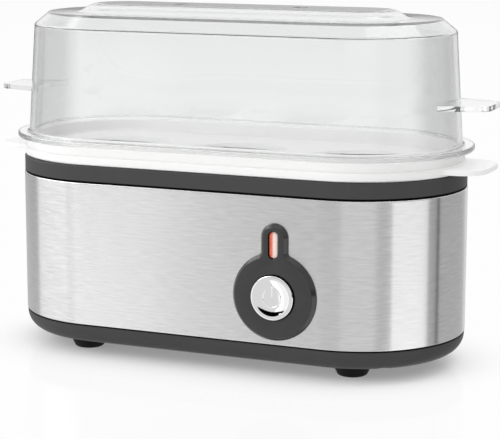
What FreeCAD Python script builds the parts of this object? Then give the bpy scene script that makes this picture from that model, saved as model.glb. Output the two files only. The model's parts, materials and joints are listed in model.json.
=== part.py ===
import FreeCAD, Part
import math
import os

Vector = FreeCAD.Vector

# Sizes are in millimetres. The floor is z = 0, the front faces -Y and +X is the right hand side.

# Plan of the body: two straight sides joined by half circles
half_straight = 51.5

# How far a cutting shape or a root runs past the face it meets, and when two places count as one
overrun = 1.0
same_place = 0.01

# Steel sleeve
sleeve_radius = 43.5
sleeve_wall = 0.8
sleeve_over_tab = 10.3
sleeve_edge_round = 0.5
sleeve_clearance = 0.3

# Feet
foot_height = 5.3
foot_bottom_radius = 5.8
foot_top_radius = 8.2
foot_past_straight = 6.9
foot_y = 24.0
foot_edge_round = 1.5
foot_peg_radius = 2.4
foot_head_radius = 3.3
foot_head_height = 1.8
foot_peg_clearance = 0.2
foot_head_gap = 0.1

# Base tub
base_depth = 8.5
base_inset = 0.2
base_floor = 2.2
base_edge_round = 7.4
base_wall = 2.2
sleeve_bearing = 0.25
shadow_gap = 0.6
rim_height = 7.2
rim_wall = 1.8
post_radius = 4.4
post_height = 29.5
post_cap = 3.0
post_foot = 1.0
pad_radius = 3.2
pad_height = 3.5
notch_play = 1.5
notch_depth = 2.0

# Upper housing
skirt_clearance = 0.2
band_inset = 0.2
band_gap = 0.4
band_height = 7.0
band_edge_round = 0.8
skirt_depth = 11.0
skirt_wall = 2.0
mouth_wall = 4.9
mouth_edge_round = 0.6
ledge_drop = 7.7
ledge_width = 4.1
ledge_thickness = 2.5
boss_radius = 3.6
boss_angle = 55.0
boss_gap = 0.5
boss_sink = 0.5

# Housing screws
screw_radius = 1.5
screw_play = 0.4
screw_length = 18.0
screw_head_radius = 2.9
screw_head_height = 2.4
well_play = 0.4
thread_gap = 0.05
thread_spare = 2.0
thread_end = 0.3
screw_end_gap = 0.5
slot_width_share = 0.35
slot_depth_share = 0.45
slot_length_share = 1.3

# Heating plate and its gasket
gasket_thickness = 1.0
gasket_inset = 0.7
plate_sheet = 1.2
plate_flange_gap = 0.4
plate_wall_gap = 0.9
plate_depth = 6.5
plate_round = 4.0
stud_radius = 2.0
stud_length = 8.0
stud_past_straight = 8.5

# Clamp bars that pull the plate down on the ledge
bar_width = 8.0
bar_thickness = 1.5
bar_drop = 3.0
bar_end_gap = 2.1
nut_across = 7.0
nut_height = 2.4
earth_tab_y = 12.0
earth_tab_length = 7.5
earth_tab_width = 2.4

# Heat spreader and heating element
spreader_short = 17.5
spreader_land = 6.0
spreader_thickness = 3.0
tube_radius = 3.2
loop_gap = 1.0
braze_gap = 0.05
cold_end_x = 9.0
cold_end_drop = 10.7
cold_end_bend = 6.0
pin_radius = 1.4
pin_length = 6.0
side_pin_radius = 1.0
side_pin_length = 7.0

# Thermostat and its clip
thermostat_radius = 8.0
thermostat_flange_reach = 1.0
thermostat_cap_height = 2.9
thermostat_flange = 1.0
thermostat_body_height = 7.0
thermostat_contact_gap = 0.1
blade_x = 4.5
blade_radius = 1.2
blade_length = 7.0
clip_thickness = 1.0
clip_side = 1.5
clip_foot = 6.0
clip_screw_gap = 7.0
clip_end = 3.0
clip_play = 0.3
small_screw_radius = 1.4
small_head_radius = 2.5
small_head_height = 1.5
spreader_thread = 2.2

# Thermal fuse and its clip
fuse_offset = 14.0
fuse_radius = 2.0
fuse_half_length = 4.5
fuse_wire_radius = 0.6
fuse_wire_length = 4.0
fuse_wire_drop = 6.0
fuse_gap = 0.2
fuse_clip_wall = 0.9
fuse_clip_length = 8.0
fuse_clip_reach = 9.0
fuse_clip_thickness = 1.0
fuse_screw_y = 6.2

# Control bezel
bezel_end_gap = 0.3
bezel_margin = 1.9
bezel_overhang = 2.9
bezel_plate = 2.2
bezel_chamfer_in = 1.6
bezel_chamfer_deep = 1.3
tab_half_width = 5.6
tab_over_lens = 8.3
tab_fillet = 1.5
insert_land = 3.7
insert_depth = 1.5
insert_half_width = 4.4
insert_overlap = 3.5
insert_clearance = 0.2
guide_wall = 1.7
guide_depth = 12.5
guide_floor = 2.0
retainer_reach = 3.5
retainer_thickness = 1.2
retainer_gap = 0.3
retainer_break_gap = 1.1
bezel_screw_offset = 1.9
bezel_screw_angles = (30.0, 150.0, 270.0)
bezel_screw_radius = 1.0
bezel_screw_length = 4.4
bezel_screw_head_radius = 1.6
bezel_screw_head_height = 1.2

# Indicator lens and lamp
lens_over_ring = 3.1
lens_half_width = 2.0
lens_half_height = 5.4
lens_gap = 0.1
lens_sink = 0.4
lens_flange = 1.1
lens_flange_depth = 1.2
lamp_radius = 3.0
lamp_length = 11.0
lamp_gap = 0.3
holder_wall = 1.6
holder_depth = 9.0
lamp_wire_radius = 0.9

# Push button
button_radius = 8.8
button_clearance = 0.3
button_proud = 1.3
button_dish = 0.9
button_edge_round = 0.5
button_depth = 7.5
button_wall = 1.3
button_face = 3.0
button_travel = 3.0
socket_radius = 4.0
socket_depth = 3.0
peg_radius = 2.4
stem_radius = 2.9
stem_clearance = 0.3
stem_past_guide = 1.5
groove_depth = 0.8
stem_clip_radius = 4.8
stem_clip_thickness = 0.8
stem_clip_gap = 0.1
push_gap = 0.2

# Return spring
spring_radius = 5.7
spring_wire = 0.45
spring_turns = 5
spring_gap = 0.3

# Switch and its bracket
plunger_radius = 2.2
plunger_proud = 4.3
plunger_depth = 5.0
plunger_clearance = 0.3
plunger_spare = 1.5
switch_depth = 16.0
switch_width = 14.0
switch_height = 19.0
switch_round = 1.0
switch_pin_x = 3.5
switch_pin_radius = 1.2
switch_pin_length = 6.0
bracket_sheet = 1.2
bracket_width = 18.0
bracket_foot = 10.0
bracket_screw_x = 5.0
switch_screw_inset = 3.2
switch_screw_length = 5.0

# Terminal block
block_x = -30.0
block_y = 18.0
block_length = 30.0
block_width = 15.0
block_height = 12.0
block_floor = 3.0
pole_pitch = 8.0
pole_radius = 1.5
pole_depth = 5.0
pole_rise = 7.0
pole_screw_radius = 1.8
pole_screw_depth = 3.0
pole_head_height = 1.0
block_fixing_x = 13.0

# Cord gland at the rear
gland_x = -40.0
gland_rise = 17.2
gland_bore = 3.7
gland_radius = 6.0
gland_flange_radius = 8.5
gland_flange = 1.8
gland_inside = 9.0
gland_clearance = 0.2
gland_nut_across = 16.0
gland_nut_height = 4.0

# Inner leads
lead_radius = 0.9
lead_bend = 2.5
lead_inserted = 4.0
lead_turn = 6.0
lead_climb = 11.0
fuse_lead_turn = 3.2
lamp_lead_dip = 4.0
lamp_lead_past = 14.0

# Egg tray
tray_seat_gap = 0.1
tray_lip_proud = 0.5
tray_lip_height = 3.5
tray_lip_round = 0.7
tray_step = 0.9
tray_height = 7.2
tray_rim_width = 3.0
tray_ridge_height = 1.8
tray_ridge_width = 1.7
tray_inner_slope = 0.7
tray_deck_drop = 3.4
tray_deck = 2.0
tray_skirt_depth = 3.4
tray_skirt_wall = 1.7
tray_skirt_gap = 0.7
tray_tab_half_width = 17.0
tray_tab_reach = 12.0
tray_tab_corner = 11.0
tray_tab_thickness = 1.9
tray_tab_rise = 1.1
seat_spacing = 13.4
seat_top_radius = 19.5
seat_hole_radius = 15.2
seat_depth = 4.4
seat_wall = 1.9
seat_notch_width = 3.0
seat_notch_depth = 1.6
seat_notches = 4
steam_slot_margin = 2.2
steam_slot_width = 6.0

# Lid
lid_seat_gap = 0.2
lid_wall = 1.8
lid_flange_out = 4.6
lid_flange = 2.2
lid_flange_round = 0.7
lid_wall_height = 46.6
lid_draft = 3.1
lid_chamfer_in = 6.1
lid_chamfer_rise = 5.0
lid_crown_in = 12.9
lid_crown_rise = 0.2
lid_panel_in = 5.3
lid_panel_rise = 3.1
lid_round = 1.2
lid_crown_round = 6.0
lid_panel_round = 10.0
lid_ridge_gap = 0.4
lid_tab_rise = 17.9
lid_tab_thickness = 2.0
lid_tab_root = 16.0
lid_tab_tip = 10.0
lid_tab_reach = 15.4
lid_tab_corner = 5.0
vent_radius = 3.0

# Sizes round the thermostat: its clip, the fuse beside that, the element's loop and the spreader
thermostat_flange_radius = thermostat_radius + thermostat_flange_reach
clip_width = 2 * (thermostat_radius + clip_play + clip_side)
clip_screw_x = thermostat_radius + clip_screw_gap
clip_half_length = clip_screw_x + clip_end
fuse_x = -(clip_half_length + fuse_offset)
loop_radius = clip_width / 2 + loop_gap + tube_radius
spreader_radius = loop_radius + spreader_land

# Sizes round the button: its guide, then the bezel's ring, retainer and tab, and the sleeve above
guide_inner = button_radius + button_clearance
guide_outer = guide_inner + guide_wall
insert_radius = guide_outer + insert_land
insert_bottom = insert_radius - insert_overlap
bezel_radius = insert_radius + bezel_overhang
bezel_screw_ring = guide_outer + bezel_screw_offset
retainer_radius = insert_radius + retainer_reach
holder_half_width = lamp_radius + lamp_gap + holder_wall
retainer_break = holder_half_width + retainer_break_gap
lens_rise = bezel_radius + lens_over_ring
tab_top = lens_rise + tab_over_lens
sleeve_height = bezel_margin + bezel_radius + tab_top + sleeve_over_tab

# Egg seats with a steam slot between each two, and a vent above each slot
seat_pitch = 2 * seat_top_radius + seat_spacing
steam_slot_length = seat_spacing - 2 * steam_slot_margin
vent_x = seat_pitch / 2

# Heights that follow from the sizes above
base_bottom = foot_height
floor_top = base_bottom + base_floor
sleeve_bottom = base_bottom + base_depth
sleeve_top = sleeve_bottom + sleeve_height
housing_top = sleeve_top + band_height
ledge_top = housing_top - ledge_drop
ledge_bottom = ledge_top - ledge_thickness
post_top = floor_top + post_height
plate_flange = ledge_top + gasket_thickness
plate_top = plate_flange + plate_sheet
plate_bottom = plate_flange - plate_depth
spreader_bottom = plate_bottom - spreader_thickness
tube_z = spreader_bottom - tube_radius - braze_gap
cold_end_z = tube_z - cold_end_drop
tray_bottom = housing_top + tray_seat_gap
tray_top = tray_bottom + tray_height
deck_top = tray_top - tray_deck_drop
lid_bottom = tray_top + lid_seat_gap
pad_top = floor_top + pad_height

# Radii that follow from the sizes above
sleeve_inner = sleeve_radius - sleeve_wall
rim_radius = sleeve_inner - sleeve_clearance
base_radius = sleeve_radius - base_inset
band_radius = sleeve_radius - band_inset
skirt_radius = sleeve_inner - skirt_clearance
skirt_inner = skirt_radius - skirt_wall
mouth_radius = skirt_radius - mouth_wall
ledge_radius = mouth_radius - ledge_width
plate_radius = ledge_radius - plate_wall_gap
boss_ring = skirt_inner - boss_radius - boss_gap
lip_radius = skirt_radius + tray_lip_proud
upstand_radius = lip_radius - tray_step
ridge_radius = upstand_radius - tray_rim_width
lid_inner = ridge_radius + lid_ridge_gap
lid_foot = lid_inner + lid_wall

# Places on the control side, seen from the front
front_y = -sleeve_radius
inside_y = -sleeve_inner
face_y = front_y - bezel_plate
insert_y = inside_y + insert_depth
guide_y = front_y + guide_depth
bezel_x = half_straight - retainer_radius - bezel_end_gap
bezel_z = sleeve_bottom + bezel_margin + bezel_radius
lens_z = bezel_z + lens_rise
tab_shoulder = tab_top - tab_half_width
button_y = face_y - button_proud
cap_inside_y = button_y + button_face
stem_end_y = guide_y + stem_past_guide
plunger_y = stem_end_y + push_gap
switch_y = plunger_y + plunger_proud
switch_back_y = switch_y + switch_depth
switch_bottom = bezel_z - switch_height / 2
gland_z = sleeve_bottom + gland_rise
holder_back_y = insert_y + holder_depth

up = Vector(0, 0, 1)
down = Vector(0, 0, -1)
back = Vector(0, 1, 0)
front = Vector(0, -1, 0)


def save(name, *solids):
    shape = solids[0] if len(solids) == 1 else Part.makeCompound(list(solids))
    count = len(shape.Solids)
    print(f"{name}: {count} solid, {shape.Volume:.1f} mm3, valid {shape.isValid()}")
    if count != len(solids):
        raise ValueError(f"{name} has {count} solids in place of {len(solids)}")
    shape.exportStep(f"parts/{name}.step")


# General shapes
def block(x0, x1, y0, y1, z0, z1):
    return Part.makeBox(x1 - x0, y1 - y0, z1 - z0, Vector(x0, y0, z0))


def rod(start, direction, radius, length):
    return Part.makeCylinder(radius, length, start, direction)


def cone(start, direction, radius, end_radius, length):
    return Part.makeCone(radius, end_radius, length, start, direction)


def prism(start, direction, across, height, sides=6):
    reach = across / 2 / math.cos(math.pi / sides)
    turn = FreeCAD.Rotation(up, direction)
    corners = []
    for index in range(sides):
        angle = 2 * math.pi * index / sides
        corners.append(start + turn.multVec(Vector(reach * math.cos(angle), reach * math.sin(angle), 0)))
    outline = Part.makePolygon(corners + corners[:1])
    return Part.Face(outline).extrude(direction * height)


def fuse(first, *others):
    return first.fuse(list(others)).removeSplitter() if others else first


# Edges through points in space, with an arc at each corner that has a radius
def rounded_edges(points, radii, closed):
    count = len(points)
    starts = []
    ends = []
    arcs = []
    for index in range(count):
        corner = points[index]
        radius = radii[index]
        if radius <= 0 or (not closed and index in (0, count - 1)):
            starts.append(corner)
            ends.append(corner)
            arcs.append(None)
            continue
        before = (points[index - 1] - corner).normalize()
        after = (points[(index + 1) % count] - corner).normalize()
        middle = (before + after).normalize()
        half = before.getAngle(after) / 2
        run = radius / math.tan(half)
        starts.append(corner + before * run)
        ends.append(corner + after * run)
        arcs.append(corner + middle * (radius / math.sin(half) - radius))
    edges = []
    for index in range(count):
        if arcs[index]:
            edges.append(Part.Arc(starts[index], arcs[index], ends[index]).toShape())
        following = (index + 1) % count
        if following == 0 and not closed:
            break
        if (starts[following] - ends[index]).Length > same_place:
            edges.append(Part.LineSegment(ends[index], starts[following]).toShape())
    return edges


def corner_face(corners, place):
    points = [place(corner[0], corner[1]) for corner in corners]
    radii = [corner[2] if len(corner) > 2 else 0 for corner in corners]
    return Part.Face(Part.Wire(rounded_edges(points, radii, True)))


# A section in radius and height, carried round the stadium plan
def stadium(section, straight):
    right = corner_face(section, lambda r, z: Vector(straight, -r, z))
    left = corner_face(section, lambda r, z: Vector(-straight, r, z))
    near = corner_face(section, lambda r, z: Vector(-straight, -r, z))
    along = Vector(2 * straight, 0, 0)
    pieces = [
        right.revolve(Vector(straight, 0, 0), up, 180),
        left.revolve(Vector(-straight, 0, 0), up, 180),
        near.extrude(along),
        left.extrude(along),
    ]
    return fuse(*pieces)


def stadium_block(radius, straight, z0, z1):
    return stadium([(0, z0), (radius, z0), (radius, z1), (0, z1)], straight)


# A section in radius and depth, turned about the button's axis
def turned(section, x, z):
    face = corner_face(section, lambda r, y: Vector(x + r, y, z))
    return face.revolve(Vector(x, 0, z), back, 360)


def plate_outline(corners, z0, z1):
    return corner_face(corners, lambda x, y: Vector(x, y, z0)).extrude(up * (z1 - z0))


def tube(points, radius, bends):
    edges = rounded_edges(points, bends, False)
    path = Part.Wire(edges)
    heading = (points[1] - points[0]).normalize()
    ring = Part.Wire([Part.Circle(points[0], heading, radius).toShape()])
    return path.makePipeShell([ring], True, False)


def mirrored(shape):
    return shape.mirror(Vector(0, 0, 0), Vector(1, 0, 0))


# The line beside a chain of (radius, height) points, a wall's thickness inside it
def inside_line(chain, wall):
    shifted = []
    for first, second in zip(chain, chain[1:]):
        run = math.hypot(second[0] - first[0], second[1] - first[1])
        step_r = -(second[1] - first[1]) / run * wall
        step_z = (second[0] - first[0]) / run * wall
        shifted.append(((first[0] + step_r, first[1] + step_z), (second[0] + step_r, second[1] + step_z)))
    line = [shifted[0][0]]
    for one, other in zip(shifted, shifted[1:]):
        ax, az = one[1][0] - one[0][0], one[1][1] - one[0][1]
        bx, bz = other[1][0] - other[0][0], other[1][1] - other[0][1]
        reach = ((other[0][0] - one[0][0]) * bz - (other[0][1] - one[0][1]) * bx) / (ax * bz - az * bx)
        line.append((one[0][0] + reach * ax, one[0][1] + reach * az))
    line.append(shifted[-1][1])
    return line


# A screw whose head starts at the seat, with the shank running the given way
def screw(seat, direction, radius, length, head_radius, head_height):
    head = rod(seat - direction * head_height, direction, head_radius, head_height)
    shank = rod(seat, direction, radius, length)
    body = fuse(head, shank)
    slot_width = head_radius * slot_width_share
    slot_length = head_radius * slot_length_share
    slot_depth = head_height * slot_depth_share
    turn = FreeCAD.Rotation(up, direction)
    cross = []
    for size_x, size_y in ((slot_width, slot_length), (slot_length, slot_width)):
        slot = Part.makeBox(size_x, size_y, slot_depth, Vector(-size_x / 2, -size_y / 2, 0))
        slot.Placement = FreeCAD.Placement(seat - direction * head_height, turn).multiply(slot.Placement)
        cross.append(slot)
    return body.cut(cross)


def housing_screw_places():
    reach_x = half_straight + boss_ring * math.cos(math.radians(boss_angle))
    reach_y = boss_ring * math.sin(math.radians(boss_angle))
    return [(sx * reach_x, sy * reach_y) for sx in (-1, 1) for sy in (-1, 1)]


def foot_places():
    reach_x = half_straight + foot_past_straight
    return {
        "foot_front_left": (-reach_x, -foot_y),
        "foot_front_right": (reach_x, -foot_y),
        "foot_rear_left": (-reach_x, foot_y),
        "foot_rear_right": (reach_x, foot_y),
    }


def pad_places():
    bracket_y = switch_back_y + bracket_sheet + bracket_foot / 2
    bracket = [(bezel_x + side * bracket_screw_x, bracket_y) for side in (-1, 1)]
    terminal = [(block_x + side * block_fixing_x, block_y) for side in (-1, 1)]
    return bracket, terminal


def pole_places():
    return [block_x + step * pole_pitch for step in (-1, 0, 1)]


# Outline round the button with a tab above it, as edges in the plane at depth y
def keyhole(y):
    def at(u, v):
        return Vector(bezel_x + u, y, bezel_z + v)

    fillet_u = tab_half_width + tab_fillet
    fillet_v = math.sqrt((bezel_radius + tab_fillet) ** 2 - fillet_u ** 2)
    share = bezel_radius / (bezel_radius + tab_fillet)
    touch_u = fillet_u * share
    touch_v = fillet_v * share
    lean = math.atan2(fillet_v - touch_v, touch_u - fillet_u) / 2 + math.pi / 2
    dip_u = fillet_u - tab_fillet * math.sin(lean)
    dip_v = fillet_v - tab_fillet * abs(math.cos(lean))
    edges = [
        Part.Arc(at(-touch_u, touch_v), at(-bezel_radius, 0), at(0, -bezel_radius)).toShape(),
        Part.Arc(at(0, -bezel_radius), at(bezel_radius, 0), at(touch_u, touch_v)).toShape(),
        Part.Arc(at(touch_u, touch_v), at(dip_u, dip_v), at(tab_half_width, fillet_v)).toShape(),
        Part.LineSegment(at(tab_half_width, fillet_v), at(tab_half_width, tab_shoulder)).toShape(),
        Part.Arc(
            at(tab_half_width, tab_shoulder), at(0, tab_top), at(-tab_half_width, tab_shoulder)).toShape(),
        Part.LineSegment(at(-tab_half_width, tab_shoulder), at(-tab_half_width, fillet_v)).toShape(),
        Part.Arc(at(-tab_half_width, fillet_v), at(-dip_u, dip_v), at(-touch_u, touch_v)).toShape(),
    ]
    return Part.Wire(edges)


# The tab's upright with its round top, from depth y0 to y1
def tab_block(half_width, bottom, y0, y1):
    shoulder = bezel_z + tab_shoulder
    upright = block(bezel_x - half_width, bezel_x + half_width, y0, y1, bezel_z + bottom, shoulder)
    return fuse(upright, rod(Vector(bezel_x, y0, shoulder), back, half_width, y1 - y0))


# Upright slot with round ends, from depth y0 to y1
def slot_block(half_width, half_height, y0, y1):
    straight = half_height - half_width
    middle = block(bezel_x - half_width, bezel_x + half_width, y0, y1, lens_z - straight, lens_z + straight)
    caps = [rod(Vector(bezel_x, y0, lens_z + side * straight), back, half_width, y1 - y0) for side in (-1, 1)]
    return fuse(middle, *caps)


# Base, feet and sleeve
def make_base():
    bearing_radius = sleeve_inner + sleeve_bearing
    lip = sleeve_bottom - shadow_gap
    inner = base_radius - base_wall
    rim_inner = rim_radius - rim_wall
    shell = stadium([
        (0, base_bottom),
        (base_radius, base_bottom, base_edge_round),
        (base_radius, lip),
        (bearing_radius, lip),
        (bearing_radius, sleeve_bottom),
        (rim_radius, sleeve_bottom),
        (rim_radius, sleeve_bottom + rim_height),
        (rim_inner, sleeve_bottom + rim_height),
        (rim_inner, lip),
        (inner, lip),
        (inner, floor_top, base_edge_round - base_wall),
        (0, floor_top),
    ], half_straight)
    added = []
    removed = []
    post_bottom = floor_top + post_foot
    for x, y in housing_screw_places():
        added.append(rod(Vector(x, y, post_bottom), up, post_radius, post_top - post_bottom))
        well = rod(Vector(x, y, 0), up, screw_head_radius + well_play, post_top - post_cap)
        removed += [well, rod(Vector(x, y, 0), up, screw_radius + screw_play, post_top + overrun)]
    for x, y in foot_places().values():
        removed.append(rod(Vector(x, y, 0), up, foot_peg_radius + foot_peg_clearance, floor_top + overrun))
    bracket, terminal = pad_places()
    for x, y in bracket + terminal:
        root = floor_top - base_floor / 2
        added.append(rod(Vector(x, y, root), up, pad_radius, pad_top - root))
        top = pad_top + overrun
        removed.append(rod(Vector(x, y, floor_top), up, small_screw_radius + thread_gap, top - floor_top))
    notch_half = retainer_radius + notch_play
    notch_bottom = sleeve_bottom + sleeve_bearing
    notch_back = -rim_inner + notch_depth
    removed.append(block(bezel_x - notch_half, bezel_x + notch_half, front_y, notch_back,
                         notch_bottom, sleeve_bottom + rim_height + overrun))
    return fuse(shell, *added).cut(removed)


def make_foot(x, y):
    cup = Part.makeCone(foot_bottom_radius, foot_top_radius, foot_height, Vector(x, y, 0))
    cup = cup.makeFillet(foot_edge_round, [edge for edge in cup.Edges if edge.BoundBox.ZMax < same_place])
    root = foot_height / 2
    head_z = floor_top + foot_head_gap
    peg = rod(Vector(x, y, root), up, foot_peg_radius, head_z - root)
    head = cone(Vector(x, y, head_z), up, foot_head_radius, foot_peg_radius, foot_head_height)
    return fuse(cup, peg, head)


def make_sleeve():
    ring = stadium([
        (sleeve_inner, sleeve_bottom),
        (sleeve_radius, sleeve_bottom),
        (sleeve_radius, sleeve_top, sleeve_edge_round),
        (sleeve_inner, sleeve_top),
    ], half_straight)
    outside_y = front_y - overrun
    through = sleeve_wall + 2 * overrun
    round_hole = rod(Vector(bezel_x, outside_y, bezel_z), back, insert_radius + insert_clearance, through)
    tab_hole = tab_block(insert_half_width + insert_clearance, 0, outside_y, outside_y + through)
    cord_hole = rod(Vector(gland_x, -outside_y, gland_z), front, gland_radius + gland_clearance, through)
    return ring.cut([round_hole, tab_hole, cord_hole])


# Upper housing with its ledge and screw bosses
def make_housing():
    ring = stadium([
        (skirt_radius, sleeve_top - skirt_depth),
        (skirt_radius, sleeve_top + band_gap),
        (band_radius, sleeve_top + band_gap),
        (band_radius, housing_top, band_edge_round),
        (mouth_radius, housing_top, mouth_edge_round),
        (mouth_radius, ledge_top),
        (ledge_radius, ledge_top),
        (ledge_radius, ledge_bottom),
        (skirt_inner, ledge_bottom),
        (skirt_inner, sleeve_top - skirt_depth),
    ], half_straight)
    bosses = []
    holes = []
    depth = screw_length - post_cap + thread_spare
    for x, y in housing_screw_places():
        bosses.append(rod(Vector(x, y, post_top), up, boss_radius, ledge_bottom + boss_sink - post_top))
        holes.append(rod(Vector(x, y, post_top - overrun), up, screw_radius + thread_gap, depth + overrun))
    return fuse(ring, *bosses).cut(holes)


def make_housing_screws():
    screws = []
    for x, y in housing_screw_places():
        seat = Vector(x, y, post_top - post_cap)
        screws.append(screw(seat, up, screw_radius, screw_length, screw_head_radius, screw_head_height))
    return screws


# Heating plate, gasket, clamp bars
def stud_places():
    reach = half_straight + stud_past_straight
    return (-reach, reach)


def make_gasket():
    inner = ledge_radius + gasket_inset
    outer = mouth_radius - gasket_inset
    top = ledge_top + gasket_thickness
    return stadium([(inner, ledge_top), (outer, ledge_top), (outer, top), (inner, top)], half_straight)


def make_heating_plate():
    flange_radius = mouth_radius - plate_flange_gap
    inner = plate_radius - plate_sheet
    inner_round = plate_round - plate_sheet
    dish = stadium([
        (0, plate_bottom),
        (plate_radius, plate_bottom, plate_round),
        (plate_radius, plate_flange),
        (flange_radius, plate_flange),
        (flange_radius, plate_top),
        (inner, plate_top, plate_sheet),
        (inner, plate_bottom + plate_sheet, inner_round),
        (0, plate_bottom + plate_sheet),
    ], half_straight)
    studs = [rod(Vector(x, 0, plate_bottom + plate_sheet / 2), down, stud_radius, stud_length)
             for x in stud_places()]
    return fuse(dish, *studs)


def bar_bottom():
    return plate_bottom - bar_drop - bar_thickness


def make_clamp_bar(x, with_earth_tab):
    half = bar_width / 2
    reach = math.sqrt(skirt_inner ** 2 - (stud_past_straight + half) ** 2) - bar_end_gap
    bottom = bar_bottom()
    strip = block(x - half, x + half, -reach, reach, bottom, bottom + bar_thickness)
    bar = fuse(
        strip,
        block(x - half, x + half, -reach, -reach + bar_thickness, bottom, ledge_bottom),
        block(x - half, x + half, reach - bar_thickness, reach, bottom, ledge_bottom),
    )
    if with_earth_tab:
        tab = earth_tab_width / 2
        bar = fuse(bar, block(x - tab, x + tab, earth_tab_y - tab, earth_tab_y + tab,
                              bottom - earth_tab_length, bottom + bar_thickness / 2))
    through = bar_thickness + 2 * overrun
    return bar.cut(rod(Vector(x, 0, bottom - overrun), up, stud_radius + screw_play, through))


def make_clamp_nuts():
    nuts = []
    for x in stud_places():
        top = Vector(x, 0, bar_bottom())
        nut = prism(top, down, nut_across, nut_height)
        through = nut_height + 2 * overrun
        nuts.append(nut.cut(rod(top + up * overrun, down, stud_radius + thread_gap, through)))
    return nuts


# Heat spreader, heating element, thermostat and thermal fuse
def spreader_screw_places():
    return [(-clip_screw_x, 0), (clip_screw_x, 0), (fuse_x, fuse_screw_y)]


def make_spreader():
    slab = stadium_block(spreader_radius, half_straight - spreader_short, spreader_bottom, plate_bottom)
    depth = spreader_thread + thread_end
    holes = [rod(Vector(x, y, spreader_bottom), up, small_screw_radius + thread_gap, depth)
             for x, y in spreader_screw_places()]
    return slab.cut(holes)


def make_element():
    reach = half_straight - spreader_short + loop_radius
    points = [
        Vector(cold_end_x, loop_radius, cold_end_z),
        Vector(cold_end_x, loop_radius, tube_z),
        Vector(reach, loop_radius, tube_z),
        Vector(reach, -loop_radius, tube_z),
        Vector(-reach, -loop_radius, tube_z),
        Vector(-reach, loop_radius, tube_z),
        Vector(-cold_end_x, loop_radius, tube_z),
        Vector(-cold_end_x, loop_radius, cold_end_z),
    ]
    bends = [0, cold_end_bend, loop_radius, loop_radius, loop_radius, loop_radius, cold_end_bend, 0]
    return tube(points, tube_radius, bends)


def side_pin_z():
    return cold_end_z - pin_length / 2


def make_element_pins():
    pins = []
    for side in (-1, 1):
        pin = rod(Vector(side * cold_end_x, loop_radius, cold_end_z), down, pin_radius, pin_length)
        start = Vector(side * cold_end_x, loop_radius, side_pin_z())
        pins.append(fuse(pin, rod(start, Vector(side, 0, 0), side_pin_radius, side_pin_length)))
    return pins


def thermostat_levels():
    cap_top = spreader_bottom - thermostat_contact_gap
    flange_top = cap_top - thermostat_cap_height
    flange_bottom = flange_top - thermostat_flange
    return cap_top, flange_top, flange_bottom, flange_bottom - thermostat_body_height


def make_thermostat():
    cap_top, flange_top, flange_bottom, body_bottom = thermostat_levels()
    cap = rod(Vector(0, 0, flange_top), up, thermostat_radius, cap_top - flange_top)
    flange = rod(Vector(0, 0, flange_bottom), up, thermostat_flange_radius, thermostat_flange)
    body = rod(Vector(0, 0, body_bottom), up, thermostat_radius, thermostat_body_height)
    root = body_bottom + overrun
    blades = [rod(Vector(side * blade_x, 0, root), down, blade_radius, blade_length + overrun)
              for side in (-1, 1)]
    return fuse(cap, flange, body, *blades)


def make_thermostat_clip():
    flange_bottom = thermostat_levels()[2]
    low = flange_bottom - clip_thickness
    strap = block(-clip_half_length, clip_half_length, -clip_width / 2, clip_width / 2, low, flange_bottom)
    foot = block(clip_half_length - clip_foot, clip_half_length, -clip_width / 2, clip_width / 2,
                 low, spreader_bottom)
    clip = fuse(strap, foot, mirrored(foot))
    through = spreader_bottom - low + 2 * overrun
    holes = [rod(Vector(side * clip_screw_x, 0, low - overrun), up, small_screw_radius + clip_play, through)
             for side in (-1, 1)]
    middle = rod(Vector(0, 0, low - overrun), up, thermostat_radius + clip_play, clip_thickness + overrun)
    return clip.cut(holes + [middle])


def make_thermostat_screws():
    low = thermostat_levels()[2] - clip_thickness
    length = spreader_bottom - low + spreader_thread
    return [screw(Vector(side * clip_screw_x, 0, low), up, small_screw_radius, length,
                  small_head_radius, small_head_height) for side in (-1, 1)]


def fuse_z():
    return spreader_bottom - fuse_gap - fuse_radius


def fuse_wire_ends():
    right = Vector(fuse_x + fuse_half_length + fuse_wire_length, 0, fuse_z())
    left = Vector(fuse_x - fuse_half_length - fuse_wire_length, 0, fuse_z() - fuse_wire_drop)
    return left, right


def make_thermal_fuse():
    left, right = fuse_wire_ends()
    middle = Vector(fuse_x, 0, fuse_z())
    body = rod(middle - Vector(fuse_half_length, 0, 0), Vector(1, 0, 0), fuse_radius, 2 * fuse_half_length)
    corner = Vector(left.x, 0, fuse_z())
    wire = tube([middle, corner, left], fuse_wire_radius, [0, 2 * fuse_wire_radius, 0])
    other = rod(middle, Vector(1, 0, 0), fuse_wire_radius, right.x - middle.x)
    return fuse(body, wire, other)


def make_fuse_clip():
    inner = fuse_radius + fuse_gap / 2
    outer = inner + fuse_clip_wall
    start = Vector(fuse_x - fuse_clip_length / 2, 0, fuse_z())
    along = Vector(1, 0, 0)
    half = fuse_clip_length / 2
    saddle = rod(start, along, outer, fuse_clip_length)
    tail = block(fuse_x - half, fuse_x + half, 0, fuse_clip_reach,
                 spreader_bottom - fuse_clip_thickness, spreader_bottom)
    bore = rod(start - along * overrun, along, inner, fuse_clip_length + 2 * overrun)
    end = half + overrun
    above = block(fuse_x - end, fuse_x + end, -outer - overrun, fuse_clip_reach + overrun,
                  spreader_bottom, plate_bottom)
    mouth = block(fuse_x - end, fuse_x + end, -inner, inner, fuse_z(), spreader_bottom)
    hole = rod(Vector(fuse_x, fuse_screw_y, spreader_bottom + overrun), down, small_screw_radius + clip_play,
               fuse_clip_thickness + 2 * overrun)
    return fuse(saddle, tail).cut([bore, above, mouth, hole])


def make_fuse_screw():
    seat = Vector(fuse_x, fuse_screw_y, spreader_bottom - fuse_clip_thickness)
    return screw(seat, up, small_screw_radius, fuse_clip_thickness + spreader_thread,
                 small_head_radius, small_head_height)


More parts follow.
